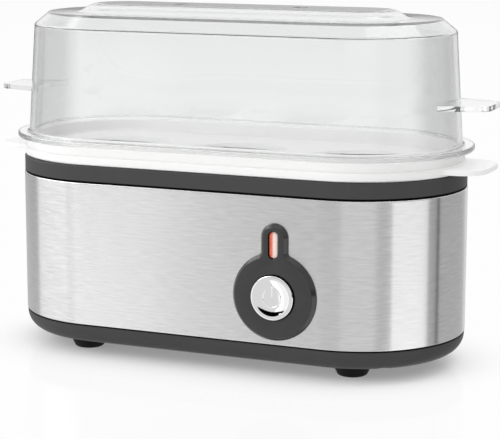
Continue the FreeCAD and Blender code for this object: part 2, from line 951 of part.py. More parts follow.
# Control bezel, lens and lamp
def make_bezel():
    plate = Part.Face(keyhole(face_y)).extrude(back * bezel_plate)
    rim = [edge for edge in plate.Edges if edge.BoundBox.YMax < face_y + same_place]
    plate = plate.makeChamfer(bezel_chamfer_in, bezel_chamfer_deep, rim)
    ring = rod(Vector(bezel_x, front_y - bezel_plate / 2, bezel_z), back, insert_radius,
               insert_y - front_y + bezel_plate / 2)
    tab = tab_block(insert_half_width, insert_bottom, front_y - bezel_plate / 2, insert_y)
    guide = rod(Vector(bezel_x, front_y - bezel_plate / 2, bezel_z), back, guide_outer,
                guide_depth + bezel_plate / 2)
    shell = fuse(plate, ring, tab, guide)
    outside = Vector(bezel_x, face_y - overrun, bezel_z)
    bore = rod(outside, back, guide_inner, guide_y - guide_floor - outside.y)
    stem_hole = rod(outside, back, stem_radius + stem_clearance, guide_y + overrun - outside.y)
    behind_y = insert_y + overrun
    wide = lens_half_width + lens_gap
    tall = lens_half_height + lens_gap
    window = slot_block(wide, tall, outside.y, behind_y)
    pocket = slot_block(wide + lens_flange, tall + lens_flange, insert_y - lens_flange_depth, behind_y)
    depth = bezel_screw_length - retainer_thickness + thread_end
    holes = [rod(point, front, bezel_screw_radius + thread_gap, depth)
             for point in bezel_screw_points(insert_y)]
    return shell.cut([bore, stem_hole, window, pocket] + holes)


def bezel_screw_points(y):
    points = []
    for angle in bezel_screw_angles:
        turn = math.radians(angle)
        points.append(Vector(bezel_x + bezel_screw_ring * math.cos(turn), y,
                             bezel_z + bezel_screw_ring * math.sin(turn)))
    return points


def make_retainer():
    inner = guide_outer + retainer_gap
    step = insert_radius + insert_clearance + retainer_gap
    back_y = insert_y + retainer_thickness
    ring = turned([(inner, insert_y), (step, insert_y), (step, inside_y), (retainer_radius, inside_y),
                   (retainer_radius, back_y), (inner, back_y)], bezel_x, bezel_z)
    opening = block(bezel_x - retainer_break, bezel_x + retainer_break, inside_y - overrun, back_y + overrun,
                    bezel_z, bezel_z + retainer_radius + overrun)
    holes = [rod(point, back, bezel_screw_radius + clip_play, retainer_thickness + 2 * overrun)
             for point in bezel_screw_points(insert_y - overrun)]
    return ring.cut([opening] + holes)


def make_bezel_screws():
    return [screw(point, front, bezel_screw_radius, bezel_screw_length,
                  bezel_screw_head_radius, bezel_screw_head_height)
            for point in bezel_screw_points(insert_y + retainer_thickness)]


def make_lens():
    window = slot_block(lens_half_width, lens_half_height, face_y + lens_sink, insert_y)
    flange = slot_block(lens_half_width + lens_flange, lens_half_height + lens_flange,
                        insert_y - lens_flange_depth + lens_gap, insert_y)
    return fuse(window, flange)


def lamp_y():
    return insert_y + lamp_gap + lamp_radius


def make_holder():
    half = holder_half_width
    tall = lamp_length / 2 + lamp_gap + holder_wall
    inner = lamp_radius + lamp_gap
    pocket_back = lamp_y() + inner
    body = block(bezel_x - half, bezel_x + half, insert_y, holder_back_y, lens_z - tall, lens_z + tall)
    pocket = block(bezel_x - inner, bezel_x + inner, insert_y - overrun, pocket_back,
                   lens_z - tall + holder_wall, lens_z + tall - holder_wall)
    holes = [rod(point, front, lamp_wire_radius + lens_gap, holder_back_y - insert_y)
             for point in lamp_wire_points()]
    return body.cut([pocket] + holes)


def lamp_wire_points():
    reach = lamp_length / 2 - lamp_radius
    return [Vector(bezel_x, holder_back_y, lens_z + side * reach) for side in (-1, 1)]


def make_lamp():
    straight = lamp_length / 2 - lamp_radius
    middle = Vector(bezel_x, lamp_y(), lens_z)
    glass = rod(middle - up * straight, up, lamp_radius, 2 * straight)
    ends = [Part.makeSphere(lamp_radius, middle + up * (side * straight)) for side in (-1, 1)]
    wires = [rod(Vector(point.x, lamp_y(), point.z), back, lamp_wire_radius / 2, holder_back_y - lamp_y())
             for point in lamp_wire_points()]
    return fuse(glass, *ends, *wires)


# Push button, stem, clip and return spring
def make_button():
    cap_back = button_y + button_depth
    socket_end = cap_inside_y + socket_depth
    rim = button_radius - button_wall
    cup = turned([
        (0, button_y + button_dish),
        (0, cap_inside_y),
        (peg_radius + thread_gap, cap_inside_y),
        (peg_radius + thread_gap, socket_end),
        (socket_radius, socket_end),
        (socket_radius, cap_inside_y),
        (rim, cap_inside_y),
        (rim, cap_back),
        (button_radius, cap_back),
        (button_radius, button_y, button_edge_round),
        (rim, button_y),
    ], bezel_x, bezel_z)
    ball_radius = (rim ** 2 + button_dish ** 2) / (2 * button_dish)
    cup_bottom = button_y + button_dish
    scoop = Part.makeSphere(ball_radius, Vector(bezel_x, cup_bottom - ball_radius, bezel_z))
    disc = rod(Vector(bezel_x, button_y, bezel_z), back, rim, button_dish)
    return fuse(cup, disc).cut(scoop)


def clip_front_y():
    return guide_y + stem_clip_gap


def make_stem():
    shoulder = cap_inside_y + socket_depth
    groove = stem_radius - groove_depth
    groove_y = clip_front_y() - stem_clip_gap / 2
    groove_back = groove_y + stem_clip_thickness + stem_clip_gap
    return turned([
        (0, cap_inside_y + thread_gap),
        (peg_radius, cap_inside_y + thread_gap),
        (peg_radius, shoulder),
        (stem_radius, shoulder),
        (stem_radius, groove_y),
        (groove, groove_y),
        (groove, groove_back),
        (stem_radius, groove_back),
        (stem_radius, stem_end_y),
        (0, stem_end_y),
    ], bezel_x, bezel_z)


def make_stem_clip():
    inner = stem_radius - groove_depth + thread_gap
    start = Vector(bezel_x, clip_front_y(), bezel_z)
    ring = rod(start, back, stem_clip_radius, stem_clip_thickness)
    return ring.cut(rod(start + front * overrun, back, inner, stem_clip_thickness + 2 * overrun))


# Two arcs that leave the first point and reach the second one along the given headings
def biarc(first, heading, second, arriving):
    span = second - first
    turn = heading + arriving
    spread = 2 * (1 - heading.dot(arriving))
    lead = span.dot(turn)
    reach = (math.sqrt(lead ** 2 + spread * span.dot(span)) - lead) / spread
    joint = (first + heading * reach + second - arriving * reach) * 0.5
    arcs = []
    for start, way, end in ((first, heading, joint), (second, arriving * -1, joint)):
        chord = end - start
        rise = way - chord * (way.dot(chord) / chord.dot(chord))
        bow = rise.normalize() * (chord.Length / 2 * math.tan(way.getAngle(chord) / 2))
        middle = (start + end) * 0.5 + bow
        arcs.append((start, middle, end) if end is joint and start is first else (end, middle, start))
    return [Part.Arc(*points).toShape() for points in arcs]


def make_spring():
    start_y = cap_inside_y + spring_gap + spring_wire
    end_y = guide_y - guide_floor - spring_gap - spring_wire
    steps = spring_turns * 4
    climb = (end_y - start_y) / steps
    points = []
    headings = []
    for step in range(steps + 1):
        angle = step * math.pi / 2
        points.append(Vector(bezel_x + spring_radius * math.cos(angle), start_y + step * climb,
                             bezel_z + spring_radius * math.sin(angle)))
        along = spring_radius * math.pi / 2
        headings.append(Vector(-along * math.sin(angle), climb, along * math.cos(angle)).normalize())
    edges = []
    for step in range(steps):
        edges += biarc(points[step], headings[step], points[step + 1], headings[step + 1])
    gap = 4 * climb - 2 * spring_wire
    print(f"return spring: gap between turns {gap:.2f} mm")
    ring = Part.Wire([Part.Circle(points[0], headings[0], spring_wire).toShape()])
    return Part.Wire(edges).makePipeShell([ring], True, False)


# Switch, plunger and bracket
def make_switch():
    half = switch_width / 2
    body = block(bezel_x - half, bezel_x + half, switch_y, switch_back_y, switch_bottom,
                 switch_bottom + switch_height)
    long_edges = [edge for edge in body.Edges if edge.BoundBox.YLength > switch_depth / 2]
    body = body.makeFillet(switch_round, long_edges)
    bore_depth = plunger_depth + button_travel + plunger_spare
    bore = rod(Vector(bezel_x, switch_y - overrun, bezel_z), back, plunger_radius + plunger_clearance,
               bore_depth)
    holes = [rod(Vector(bezel_x, y, switch_bottom - overrun), up, small_screw_radius + thread_gap,
                 switch_screw_length + overrun) for y in switch_screw_rows()]
    pins = [rod(point, back, switch_pin_radius + thread_gap, 2 * overrun)
            for point in switch_pin_points(switch_back_y - overrun)]
    return body.cut([bore] + holes + pins)


def switch_screw_rows():
    return (switch_y + switch_screw_inset, switch_back_y - switch_screw_inset)


def switch_pin_points(y):
    return [Vector(bezel_x + side * switch_pin_x, y, bezel_z) for side in (-1, 1)]


def make_switch_pins():
    return [rod(point, back, switch_pin_radius, switch_pin_length + overrun)
            for point in switch_pin_points(switch_back_y - overrun)]


def make_plunger():
    return rod(Vector(bezel_x, plunger_y, bezel_z), back, plunger_radius, plunger_proud + plunger_depth)


def make_bracket():
    half = bracket_width / 2
    wall_back = switch_back_y + bracket_sheet
    shelf = block(bezel_x - half, bezel_x + half, switch_y, wall_back,
                  switch_bottom - bracket_sheet, switch_bottom)
    wall = block(bezel_x - half, bezel_x + half, switch_back_y, wall_back, pad_top, switch_bottom)
    foot = block(bezel_x - half, bezel_x + half, switch_back_y, wall_back + bracket_foot,
                 pad_top, pad_top + bracket_sheet)
    places = [Vector(bezel_x, y, switch_bottom - bracket_sheet) for y in switch_screw_rows()]
    places += [Vector(x, y, pad_top) for x, y in pad_places()[0]]
    through = bracket_sheet + 2 * overrun
    holes = [rod(place + down * overrun, up, small_screw_radius + clip_play, through) for place in places]
    return fuse(shelf, wall, foot).cut(holes)


def make_switch_screws():
    seat_z = switch_bottom - bracket_sheet
    return [screw(Vector(bezel_x, y, seat_z), up, small_screw_radius, switch_screw_length,
                  small_head_radius, small_head_height) for y in switch_screw_rows()]


def make_bracket_screws():
    length = bracket_sheet + pad_height - screw_end_gap
    return [screw(Vector(x, y, pad_top + bracket_sheet), down, small_screw_radius, length,
                  small_head_radius, small_head_height) for x, y in pad_places()[0]]


# Terminal block and cord gland
def make_block():
    half = block_length / 2
    front_face = block_y - block_width / 2
    rear_face = block_y + block_width / 2
    top = pad_top + block_height
    body = block(block_x - half, block_x + half, front_face, rear_face, pad_top, top)
    removed = []
    for x in pole_places():
        for start, way in ((front_face, back), (rear_face, front)):
            outside = Vector(x, start, pad_top + pole_rise) - way * overrun
            removed.append(rod(outside, way, pole_radius, pole_depth + overrun))
        for y in pole_screw_rows():
            above = Vector(x, y, top + overrun)
            removed.append(rod(above, down, pole_screw_radius + thread_gap, pole_screw_depth + overrun))
    for x, y in pad_places()[1]:
        below = Vector(x, y, pad_top - overrun)
        removed.append(rod(below, up, small_screw_radius + clip_play, block_height))
        seat = Vector(x, y, pad_top + block_floor)
        removed.append(rod(seat, up, small_head_radius + clip_play, block_height))
    return body.cut(removed)


def pole_screw_rows():
    return (block_y - block_width / 4, block_y + block_width / 4)


def make_pole_screws():
    top = pad_top + block_height
    seat_z = top - pole_head_height
    length = pole_screw_depth - pole_head_height
    return [screw(Vector(x, y, seat_z), down, pole_screw_radius, length, pole_screw_radius, pole_head_height)
            for x in pole_places() for y in pole_screw_rows()]


def make_block_screws():
    length = block_floor + pad_height - screw_end_gap
    return [screw(Vector(x, y, pad_top + block_floor), down, small_screw_radius, length,
                  small_head_radius, small_head_height) for x, y in pad_places()[1]]


def make_gland():
    outside = Vector(gland_x, sleeve_radius + gland_flange, gland_z)
    flange = rod(outside, front, gland_flange_radius, gland_flange)
    rim = [edge for edge in flange.Edges if edge.BoundBox.YMin > outside.y - same_place]
    flange = flange.makeFillet(gland_flange / 2, rim)
    barrel = rod(outside + front * (gland_flange / 2), front, gland_radius, gland_flange / 2 + gland_inside)
    bore = rod(outside + back * overrun, front, gland_bore, gland_flange + gland_inside + 2 * overrun)
    return fuse(flange, barrel).cut(bore)


def make_gland_nut():
    start = Vector(gland_x, sleeve_inner, gland_z)
    nut = prism(start, front, gland_nut_across, gland_nut_height)
    through = gland_nut_height + 2 * overrun
    return nut.cut(rod(start + back * overrun, front, gland_radius + thread_gap, through))


# Inner leads, from terminal to terminal
def lead(points):
    bends = [lead_bend] * len(points)
    return tube(points, lead_radius, bends)


def make_leads():
    earth_x, neutral_x, live_x = pole_places()
    pole_z = pad_top + pole_rise
    pole_face = block_y - block_width / 2
    pole_y = pole_face + lead_inserted
    turn_y = pole_face - lead_turn
    high_z = pole_z + lead_climb
    live_pin, switched_pin = switch_pin_points(switch_back_y + switch_pin_length)
    step = Vector(0, lead_turn, 0)
    blade_end = thermostat_levels()[3] - blade_length
    cross_z = blade_end - lead_turn
    pin_end = cold_end_z - pin_length
    left_fuse, right_fuse = fuse_wire_ends()
    fuse_turn = right_fuse.x + fuse_lead_turn
    side_reach = cold_end_x + side_pin_length
    side_turn = side_reach + lead_turn
    side_z = side_pin_z()
    dip_z = side_z - lamp_lead_dip
    clear_y = loop_radius + tube_radius + lead_turn
    lower_wire, upper_wire = lamp_wire_points()
    stud = stud_places()[0]
    earth_low = bar_bottom() - earth_tab_length
    return {
        "lead_live": lead([
            Vector(live_x, pole_y, pole_z), Vector(live_x, turn_y, pole_z),
            Vector(live_pin.x, turn_y, pole_z), live_pin + step, live_pin,
        ]),
        "lead_switched": lead([
            switched_pin, switched_pin + step, Vector(switched_pin.x, switched_pin.y + lead_turn, cross_z),
            Vector(blade_x, 0, cross_z), Vector(blade_x, 0, blade_end),
        ]),
        "lead_thermostat": lead([
            Vector(-blade_x, 0, blade_end), Vector(-blade_x, 0, cross_z),
            Vector(fuse_turn, 0, cross_z), Vector(fuse_turn, 0, right_fuse.z), right_fuse,
        ]),
        "lead_fuse": lead([
            left_fuse, Vector(left_fuse.x, 0, cross_z),
            Vector(-cold_end_x, loop_radius, cross_z - lead_turn), Vector(-cold_end_x, loop_radius, pin_end),
        ]),
        "lead_neutral": lead([
            Vector(neutral_x, pole_y, pole_z), Vector(neutral_x, turn_y, pole_z),
            Vector(neutral_x, turn_y, high_z), Vector(cold_end_x, loop_radius, high_z),
            Vector(cold_end_x, loop_radius, pin_end),
        ]),
        "lead_earth": lead([
            Vector(earth_x, pole_y, pole_z), Vector(earth_x, turn_y, pole_z),
            Vector(stud, earth_tab_y, high_z), Vector(stud, earth_tab_y, earth_low),
        ]),
        "lead_lamp_live": lead([
            Vector(side_reach, loop_radius, side_z), Vector(side_turn, loop_radius, side_z),
            upper_wire + step, upper_wire,
        ]),
        "lead_lamp_neutral": lead([
            Vector(-side_reach, loop_radius, side_z), Vector(-side_turn, loop_radius, side_z),
            Vector(-side_turn, clear_y, dip_z), Vector(side_reach + lamp_lead_past, clear_y, dip_z),
            lower_wire + step * 2, lower_wire,
        ]),
    }


# Egg tray
def seat_places():
    return [step * seat_pitch for step in (-1, 0, 1)]


def make_tray():
    deck_bottom = deck_top - tray_deck
    lip_top = tray_bottom + tray_lip_height
    ridge_top = tray_top + tray_ridge_height
    ridge_inner = ridge_radius - tray_ridge_width
    skirt_radius = mouth_radius - tray_skirt_gap
    skirt_in = skirt_radius - tray_skirt_wall
    skirt_bottom = tray_bottom - tray_skirt_depth
    body = stadium([
        (0, deck_bottom),
        (skirt_in, deck_bottom),
        (skirt_in, skirt_bottom),
        (skirt_radius, skirt_bottom),
        (skirt_radius, tray_bottom),
        (lip_radius, tray_bottom, tray_lip_round),
        (lip_radius, lip_top, tray_lip_round),
        (upstand_radius, lip_top),
        (upstand_radius, tray_top),
        (ridge_radius, tray_top),
        (ridge_radius, ridge_top, tray_lip_round),
        (ridge_inner, ridge_top, tray_lip_round),
        (ridge_inner - tray_inner_slope, deck_top, 2 * tray_lip_round),
        (0, deck_top),
    ], half_straight)
    tab = make_tray_tab()
    added = [tab, mirrored(tab)]
    removed = []
    slope = (seat_top_radius - seat_hole_radius) / seat_depth
    for x in seat_places():
        low = Vector(x, 0, deck_top - seat_depth)
        collar_top = seat_top_radius + seat_wall - slope * tray_deck
        added.append(cone(low, up, seat_hole_radius + seat_wall, collar_top, seat_depth - tray_deck / 2))
        mouth = seat_top_radius + slope * overrun
        removed.append(cone(low, up, seat_hole_radius, mouth, seat_depth + overrun))
        removed.append(rod(low + down * overrun, up, seat_hole_radius, 2 * overrun))
        for index in range(seat_notches):
            notch = block(seat_hole_radius - overrun, seat_hole_radius + 2 * seat_wall, -seat_notch_width / 2,
                          seat_notch_width / 2, low.z - overrun, low.z + seat_notch_depth)
            notch.rotate(Vector(0, 0, 0), up, (index + 0.5) * 360 / seat_notches)
            notch.translate(Vector(x, 0, 0))
            removed.append(notch)
    for x in (-vent_x, vent_x):
        removed.append(steam_slot(x, deck_bottom - overrun, deck_top + overrun))
    return fuse(body, *added).cut(removed)


def steam_slot(x, z0, z1):
    radius = steam_slot_width / 2
    straight = steam_slot_length / 2 - radius
    middle = block(x - straight, x + straight, -radius, radius, z0, z1)
    ends = [rod(Vector(x + side * straight, 0, z0), up, radius, z1 - z0) for side in (-1, 1)]
    return fuse(middle, *ends)


def make_tray_tab():
    root = half_straight + mouth_radius / 2
    tip = half_straight + lip_radius + tray_tab_reach
    half = tray_tab_half_width
    bottom = tray_bottom + tray_tab_rise
    sheet = plate_outline([
        (root, -half),
        (tip, -half, tray_tab_corner),
        (tip, half, tray_tab_corner),
        (root, half),
    ], bottom, bottom + tray_tab_thickness)
    return sheet.cut(stadium_block(ridge_radius, half_straight, bottom - overrun, tray_top))


# Lid
def lid_chain():
    shoulder_radius = lid_foot - lid_draft
    shoulder_z = lid_bottom + lid_wall_height
    crease_radius = shoulder_radius - lid_chamfer_in
    crease_z = shoulder_z + lid_chamfer_rise
    crown_radius = crease_radius - lid_crown_in
    crown_z = crease_z + lid_crown_rise
    panel_radius = crown_radius - lid_panel_in
    panel_z = crown_z + lid_panel_rise
    return [
        (lid_foot, lid_bottom),
        (shoulder_radius, shoulder_z),
        (crease_radius, crease_z),
        (crown_radius, crown_z),
        (panel_radius, panel_z),
        (0, panel_z),
    ]


def make_lid():
    outer = lid_chain()
    inner = inside_line(outer, lid_wall)
    flange_radius = lid_foot + lid_flange_out
    flange_top = lid_bottom + lid_flange
    wall_share = lid_flange / lid_wall_height
    root = lid_foot - lid_draft * wall_share
    section = [(inner[0][0], lid_bottom)]
    section += [(flange_radius, z, lid_flange_round) for z in (lid_bottom, flange_top)]
    section += [(root, flange_top, lid_round)]
    outer_bends = [lid_round, lid_round, lid_crown_round, lid_panel_round]
    inner_bends = [lid_round / 2, lid_round / 2, lid_crown_round + lid_wall, lid_panel_round - lid_wall]
    section += [(r, z, bend) for (r, z), bend in zip(outer[1:-1], outer_bends)] + [outer[-1]]
    section += [(0, inner[-1][1])]
    section += [(r, z, bend) for (r, z), bend in reversed(list(zip(inner[1:-1], inner_bends)))]
    shell = stadium(section, half_straight)
    solid = stadium([(0, lid_bottom)] + outer, half_straight)
    tab = make_lid_tab().cut(solid)
    panel_z = outer[-1][1]
    through = lid_wall + 2 * overrun
    vents = [rod(Vector(x, 0, panel_z + overrun), down, vent_radius, through) for x in (-vent_x, vent_x)]
    return fuse(shell, tab, mirrored(tab)).cut(vents)


def make_lid_tab():
    wall_face = half_straight + lid_foot - lid_draft * lid_tab_rise / lid_wall_height
    bottom = lid_bottom + lid_tab_rise
    root = half_straight
    tip = wall_face + lid_tab_reach
    return plate_outline([
        (root, -lid_tab_root),
        (wall_face - lid_tab_corner, -lid_tab_root),
        (tip, -lid_tab_tip, lid_tab_corner),
        (tip, lid_tab_tip, lid_tab_corner),
        (wall_face - lid_tab_corner, lid_tab_root),
        (root, lid_tab_root),
    ], bottom, bottom + lid_tab_thickness)


os.makedirs("parts", exist_ok=True)
save("base", make_base())
for name, (foot_x, foot_place_y) in foot_places().items():
    save(name, make_foot(foot_x, foot_place_y))
save("body_sleeve", make_sleeve())
save("upper_housing", make_housing())
save("housing_screws", *make_housing_screws())
save("plate_gasket", make_gasket())
save("heating_plate", make_heating_plate())
save("plate_clamps", *[make_clamp_bar(x, x < 0) for x in stud_places()])
save("clamp_nuts", *make_clamp_nuts())
save("heat_spreader", make_spreader())
save("heating_element", make_element())
save("element_terminals", *make_element_pins())
save("thermostat", make_thermostat())
save("thermostat_clip", make_thermostat_clip())
save("thermostat_screws", *make_thermostat_screws())
save("thermal_fuse", make_thermal_fuse())
save("fuse_clip", make_fuse_clip())
save("fuse_screw", make_fuse_screw())
save("control_bezel", make_bezel())
save("bezel_retainer", make_retainer())
save("bezel_screws", *make_bezel_screws())
save("indicator_lens", make_lens())
save("lamp_holder", make_holder())
save("neon_lamp", make_lamp())
save("power_button", make_button())
save("button_stem", make_stem())
save("stem_clip", make_stem_clip())
save("button_spring", make_spring())
save("switch_body", make_switch())
save("switch_terminals", *make_switch_pins())
save("switch_plunger", make_plunger())
save("switch_bracket", make_bracket())
save("switch_screws", *make_switch_screws())
save("bracket_screws", *make_bracket_screws())
save("terminal_block", make_block())
save("terminal_screws", *make_pole_screws())
save("block_screws", *make_block_screws())
save("cord_gland", make_gland())
save("gland_nut", make_gland_nut())
for name, wire in make_leads().items():
    save(name, wire)
save("egg_tray", make_tray())
save("lid", make_lid())
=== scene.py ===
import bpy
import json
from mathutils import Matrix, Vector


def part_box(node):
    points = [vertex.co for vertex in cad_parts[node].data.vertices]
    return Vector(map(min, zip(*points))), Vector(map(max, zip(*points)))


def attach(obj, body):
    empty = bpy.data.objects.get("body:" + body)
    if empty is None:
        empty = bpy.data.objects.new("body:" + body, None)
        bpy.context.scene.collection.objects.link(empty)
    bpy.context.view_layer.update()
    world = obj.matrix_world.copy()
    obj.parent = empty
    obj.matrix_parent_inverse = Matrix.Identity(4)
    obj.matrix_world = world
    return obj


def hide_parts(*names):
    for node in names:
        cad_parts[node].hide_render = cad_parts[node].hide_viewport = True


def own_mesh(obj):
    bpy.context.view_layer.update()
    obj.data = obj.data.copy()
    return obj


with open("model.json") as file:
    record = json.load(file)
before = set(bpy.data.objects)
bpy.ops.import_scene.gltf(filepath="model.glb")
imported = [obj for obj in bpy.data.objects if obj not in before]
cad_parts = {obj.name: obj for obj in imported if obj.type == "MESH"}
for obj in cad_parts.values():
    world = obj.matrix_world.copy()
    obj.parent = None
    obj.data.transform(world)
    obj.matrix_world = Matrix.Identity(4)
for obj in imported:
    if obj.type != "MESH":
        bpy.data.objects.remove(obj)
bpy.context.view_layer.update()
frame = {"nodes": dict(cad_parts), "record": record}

import json
import math

import bmesh
import bpy
from mathutils import Vector

print("frame loaded,", len(frame["nodes"]), "nodes")

mm = 0.001
scene = bpy.context.scene
scene.view_settings.view_transform = "Standard"


def addNode(tree, kind, **settings):
    node = tree.nodes.new(kind)
    for name, value in settings.items():
        setattr(node, name, value)
    return node


def join(tree, start, end):
    tree.links.new(start, end)


def feed(tree, node, name, value):
    # a socket takes a link, everything else is its own value
    socket = node.inputs[name]
    if isinstance(value, bpy.types.NodeSocket):
        tree.links.new(value, socket)
    else:
        socket.default_value = value


def sum2(tree, operation, first, second=0.0, third=0.0, clamp=False):
    node = addNode(tree, "ShaderNodeMath", operation=operation, use_clamp=clamp)
    for slotNumber, value in enumerate((first, second, third)):
        feed(tree, node, slotNumber, value)
    return node.outputs[0]


def between(tree, value, start, end, kind="SMOOTHSTEP"):
    # 0 at the start and 1 at the end
    node = addNode(tree, "ShaderNodeMapRange", interpolation_type=kind)
    for name, given in (("Value", value), ("From Min", start), ("From Max", end)):
        feed(tree, node, name, given)
    return node


def axes(tree, kind="Object"):
    # a place or a direction as its three numbers
    parts = addNode(tree, "ShaderNodeSeparateXYZ")
    join(tree, addNode(tree, "ShaderNodeTexCoord").outputs[kind], parts.inputs[0])
    return parts.outputs


# camera, solved from the sleeve's edges in a 500 x 439 frame
cameraSet = {
    "target": (0.0, 0.0, 0.05365),
    "yaw": 23.35,
    "pitch": 10.43,
    "distance": 0.74366,
    "lens": 129.495,
    "shiftX": 0.0192,
}


def makeCamera(values):
    yaw = math.radians(values["yaw"])
    pitch = math.radians(values["pitch"])
    back = Vector((math.sin(yaw) * math.cos(pitch), -math.cos(yaw) * math.cos(pitch), math.sin(pitch)))
    data = bpy.data.cameras.new("camera")
    data.sensor_fit = "HORIZONTAL"
    data.sensor_width = 36.0
    data.lens = values["lens"]
    data.shift_x = values["shiftX"]
    data.clip_start = 0.01
    eye = bpy.data.objects.new("camera", data)
    eye.location = Vector(values["target"]) + back * values["distance"]
    eye.rotation_euler = back.to_track_quat("Z", "Y").to_euler()
    scene.collection.objects.link(eye)
    scene.camera = eye


makeCamera(cameraSet)
print("camera set")


# studio: soft panels round the object, seen by glossy surfaces; azimuth from the front, towards the right
studio = {
    "diffuse": 0.90,
    "dimSide": ("dimSide", 105.0, 65.0, 35.0, -90.0, 20.0, 15.0, 0.20),  # same columns as the panels below
    "walls": 0.75,
    # name, azimuth, half width, softness, low edge, high edge, edge softness, level
    "panels": [
        ("rearHigh", 180.0, 70.0, 12.0, 0.0, 60.0, 6.0, 0.95),
        ("leftRear", -128.0, 40.0, 6.0, -90.0, 4.0, 3.0, 0.60),
        ("leftDark", -138.0, 42.0, 6.0, -6.0, 4.0, 2.0, 0.20),
        ("leftWall", -64.5, 28.5, 1.6, -90.0, 90.0, 5.0, 1.00),
        ("leftSoftbox", -75.0, 35.0, 4.0, 24.0, 56.0, 4.0, 4.0),
        ("leftFront", -31.0, 5.4, 0.7, -90.0, 20.0, 5.0, 1.25),
        ("rightDip", 46.0, 7.0, 4.0, -90.0, 10.0, 5.0, 0.66),
        ("rightWall", 77.5, 21.5, 1.0, -90.0, 4.0, 6.0, 1.40),
        ("rearRight", 135.0, 36.0, 3.0, -90.0, 10.0, 6.0, 0.54),
        ("rearGap", 112.5, 2.0, 0.5, -90.0, 90.0, 5.0, 0.0),
        ("rightDark", 100.0, 60.0, 6.0, -4.0, 7.0, 3.0, 0.12),
        ("frontCard", -22.0, 24.0, 1.5, 2.0, 18.0, 1.0, 0.0),
        ("frontSpot", -38.0, 3.0, 0.8, 6.5, 12.5, 0.8, 1.3),
        ("overhead", 0.0, 180.0, 1.0, 58.0, 95.0, 8.0, 1.15),
    ],
}


def panelGroup():
    group = bpy.data.node_groups.new("studioPanel", "ShaderNodeTree")
    face = group.interface
    for name in ("Below", "Azimuth", "Elevation", "Centre", "Half Width", "Softness", "Low", "High",
                 "Edge", "Level"):
        face.new_socket(name, in_out="INPUT", socket_type="NodeSocketFloat")
    face.new_socket("Light", in_out="OUTPUT", socket_type="NodeSocketFloat")
    come = addNode(group, "NodeGroupInput")
    give = addNode(group, "NodeGroupOutput")
    turn = sum2(group, "SUBTRACT", come.outputs["Azimuth"], come.outputs["Centre"])
    turn = sum2(group, "ADD", turn, 540.0)
    turn = sum2(group, "FLOORED_MODULO", turn, 360.0)
    away = sum2(group, "ABSOLUTE", sum2(group, "SUBTRACT", turn, 180.0))

    def step(value, middle, soft):
        start = sum2(group, "SUBTRACT", middle, soft)
        return between(group, value, start, sum2(group, "ADD", middle, soft)).outputs[0]

    across = sum2(group, "SUBTRACT", 1.0, step(away, come.outputs["Half Width"], come.outputs["Softness"]))
    above = step(come.outputs["Elevation"], come.outputs["Low"], come.outputs["Edge"])
    under = sum2(group, "SUBTRACT", 1.0,
                 step(come.outputs["Elevation"], come.outputs["High"], come.outputs["Edge"]))
    share = sum2(group, "MULTIPLY", across, sum2(group, "MULTIPLY", above, under))
    blend = addNode(group, "ShaderNodeMix", data_type="FLOAT")
    join(group, share, blend.inputs[0])
    join(group, come.outputs["Below"], blend.inputs[2])
    join(group, come.outputs["Level"], blend.inputs[3])
    join(group, blend.outputs[0], give.inputs["Light"])
    return group


def makeWorld(values):
    world = bpy.data.worlds.new("studio")
    scene.world = world
    world.use_nodes = True
    tree = world.node_tree
    tree.nodes.clear()
    way = axes(tree, "Generated")
    toDegrees = math.degrees(1.0)
    forward = sum2(tree, "MULTIPLY", way["Y"], -1.0)
    azimuth = sum2(tree, "MULTIPLY", sum2(tree, "ARCTAN2", way["X"], forward), toDegrees)
    elevation = sum2(tree, "MULTIPLY", sum2(tree, "ARCSINE", way["Z"]), toDegrees)
    group = panelGroup()

    def addPanel(below, row):
        panel = addNode(tree, "ShaderNodeGroup", node_tree=group, label=row[0])
        feed(tree, panel, "Below", below)
        feed(tree, panel, "Azimuth", azimuth)
        feed(tree, panel, "Elevation", elevation)
        columns = ("Centre", "Half Width", "Softness", "Low", "High", "Edge", "Level")
        for socket, value in zip(columns, row[1:]):
            feed(tree, panel, socket, value)
        return panel.outputs["Light"]

    light = values["walls"]
    for row in values["panels"]:
        light = addPanel(light, row)
    soft = addPanel(values["diffuse"], values["dimSide"])
    path = addNode(tree, "ShaderNodeLightPath")
    # what is seen straight or through clear plastic is white, and metal shows the panels
    seen = sum2(tree, "MAXIMUM", path.outputs["Is Camera Ray"], path.outputs["Is Transmission Ray"])
    first = addNode(tree, "ShaderNodeMix", data_type="FLOAT")
    feed(tree, first, 0, path.outputs["Is Glossy Ray"])
    feed(tree, first, 2, soft)
    feed(tree, first, 3, light)
    second = addNode(tree, "ShaderNodeMix", data_type="FLOAT")
    feed(tree, second, 0, seen)
    feed(tree, second, 2, first.outputs[0])
    feed(tree, second, 3, 1.0)
    back = addNode(tree, "ShaderNodeBackground")
    join(tree, second.outputs[0], back.inputs["Color"])
    output = addNode(tree, "ShaderNodeOutputWorld")
    join(tree, back.outputs[0], output.inputs["Surface"])


makeWorld(studio)

# soft lamps, in metres and watts
lampAim = (0.0, 0.0, 0.07)
lamps = {
    "key": {"place": (-0.75, -0.95, 0.65), "size": 0.9, "power": 5.6},
    "top": {"place": (0.45, 0.30, 1.20), "size": 0.9, "power": 4.0},
}


def makeLamps(values):
    for name, lamp in values.items():
        data = bpy.data.lights.new(name, "AREA")
        data.shape = "DISK"
        data.size = lamp["size"]
        data.energy = lamp["power"]
        bulb = bpy.data.objects.new(name, data)
        bulb.location = lamp["place"]
        aim = Vector(lampAim) - bulb.location
        bulb.rotation_euler = aim.to_track_quat("-Z", "Y").to_euler()
        bulb.visible_glossy = False
        scene.collection.objects.link(bulb)


makeLamps(lamps)

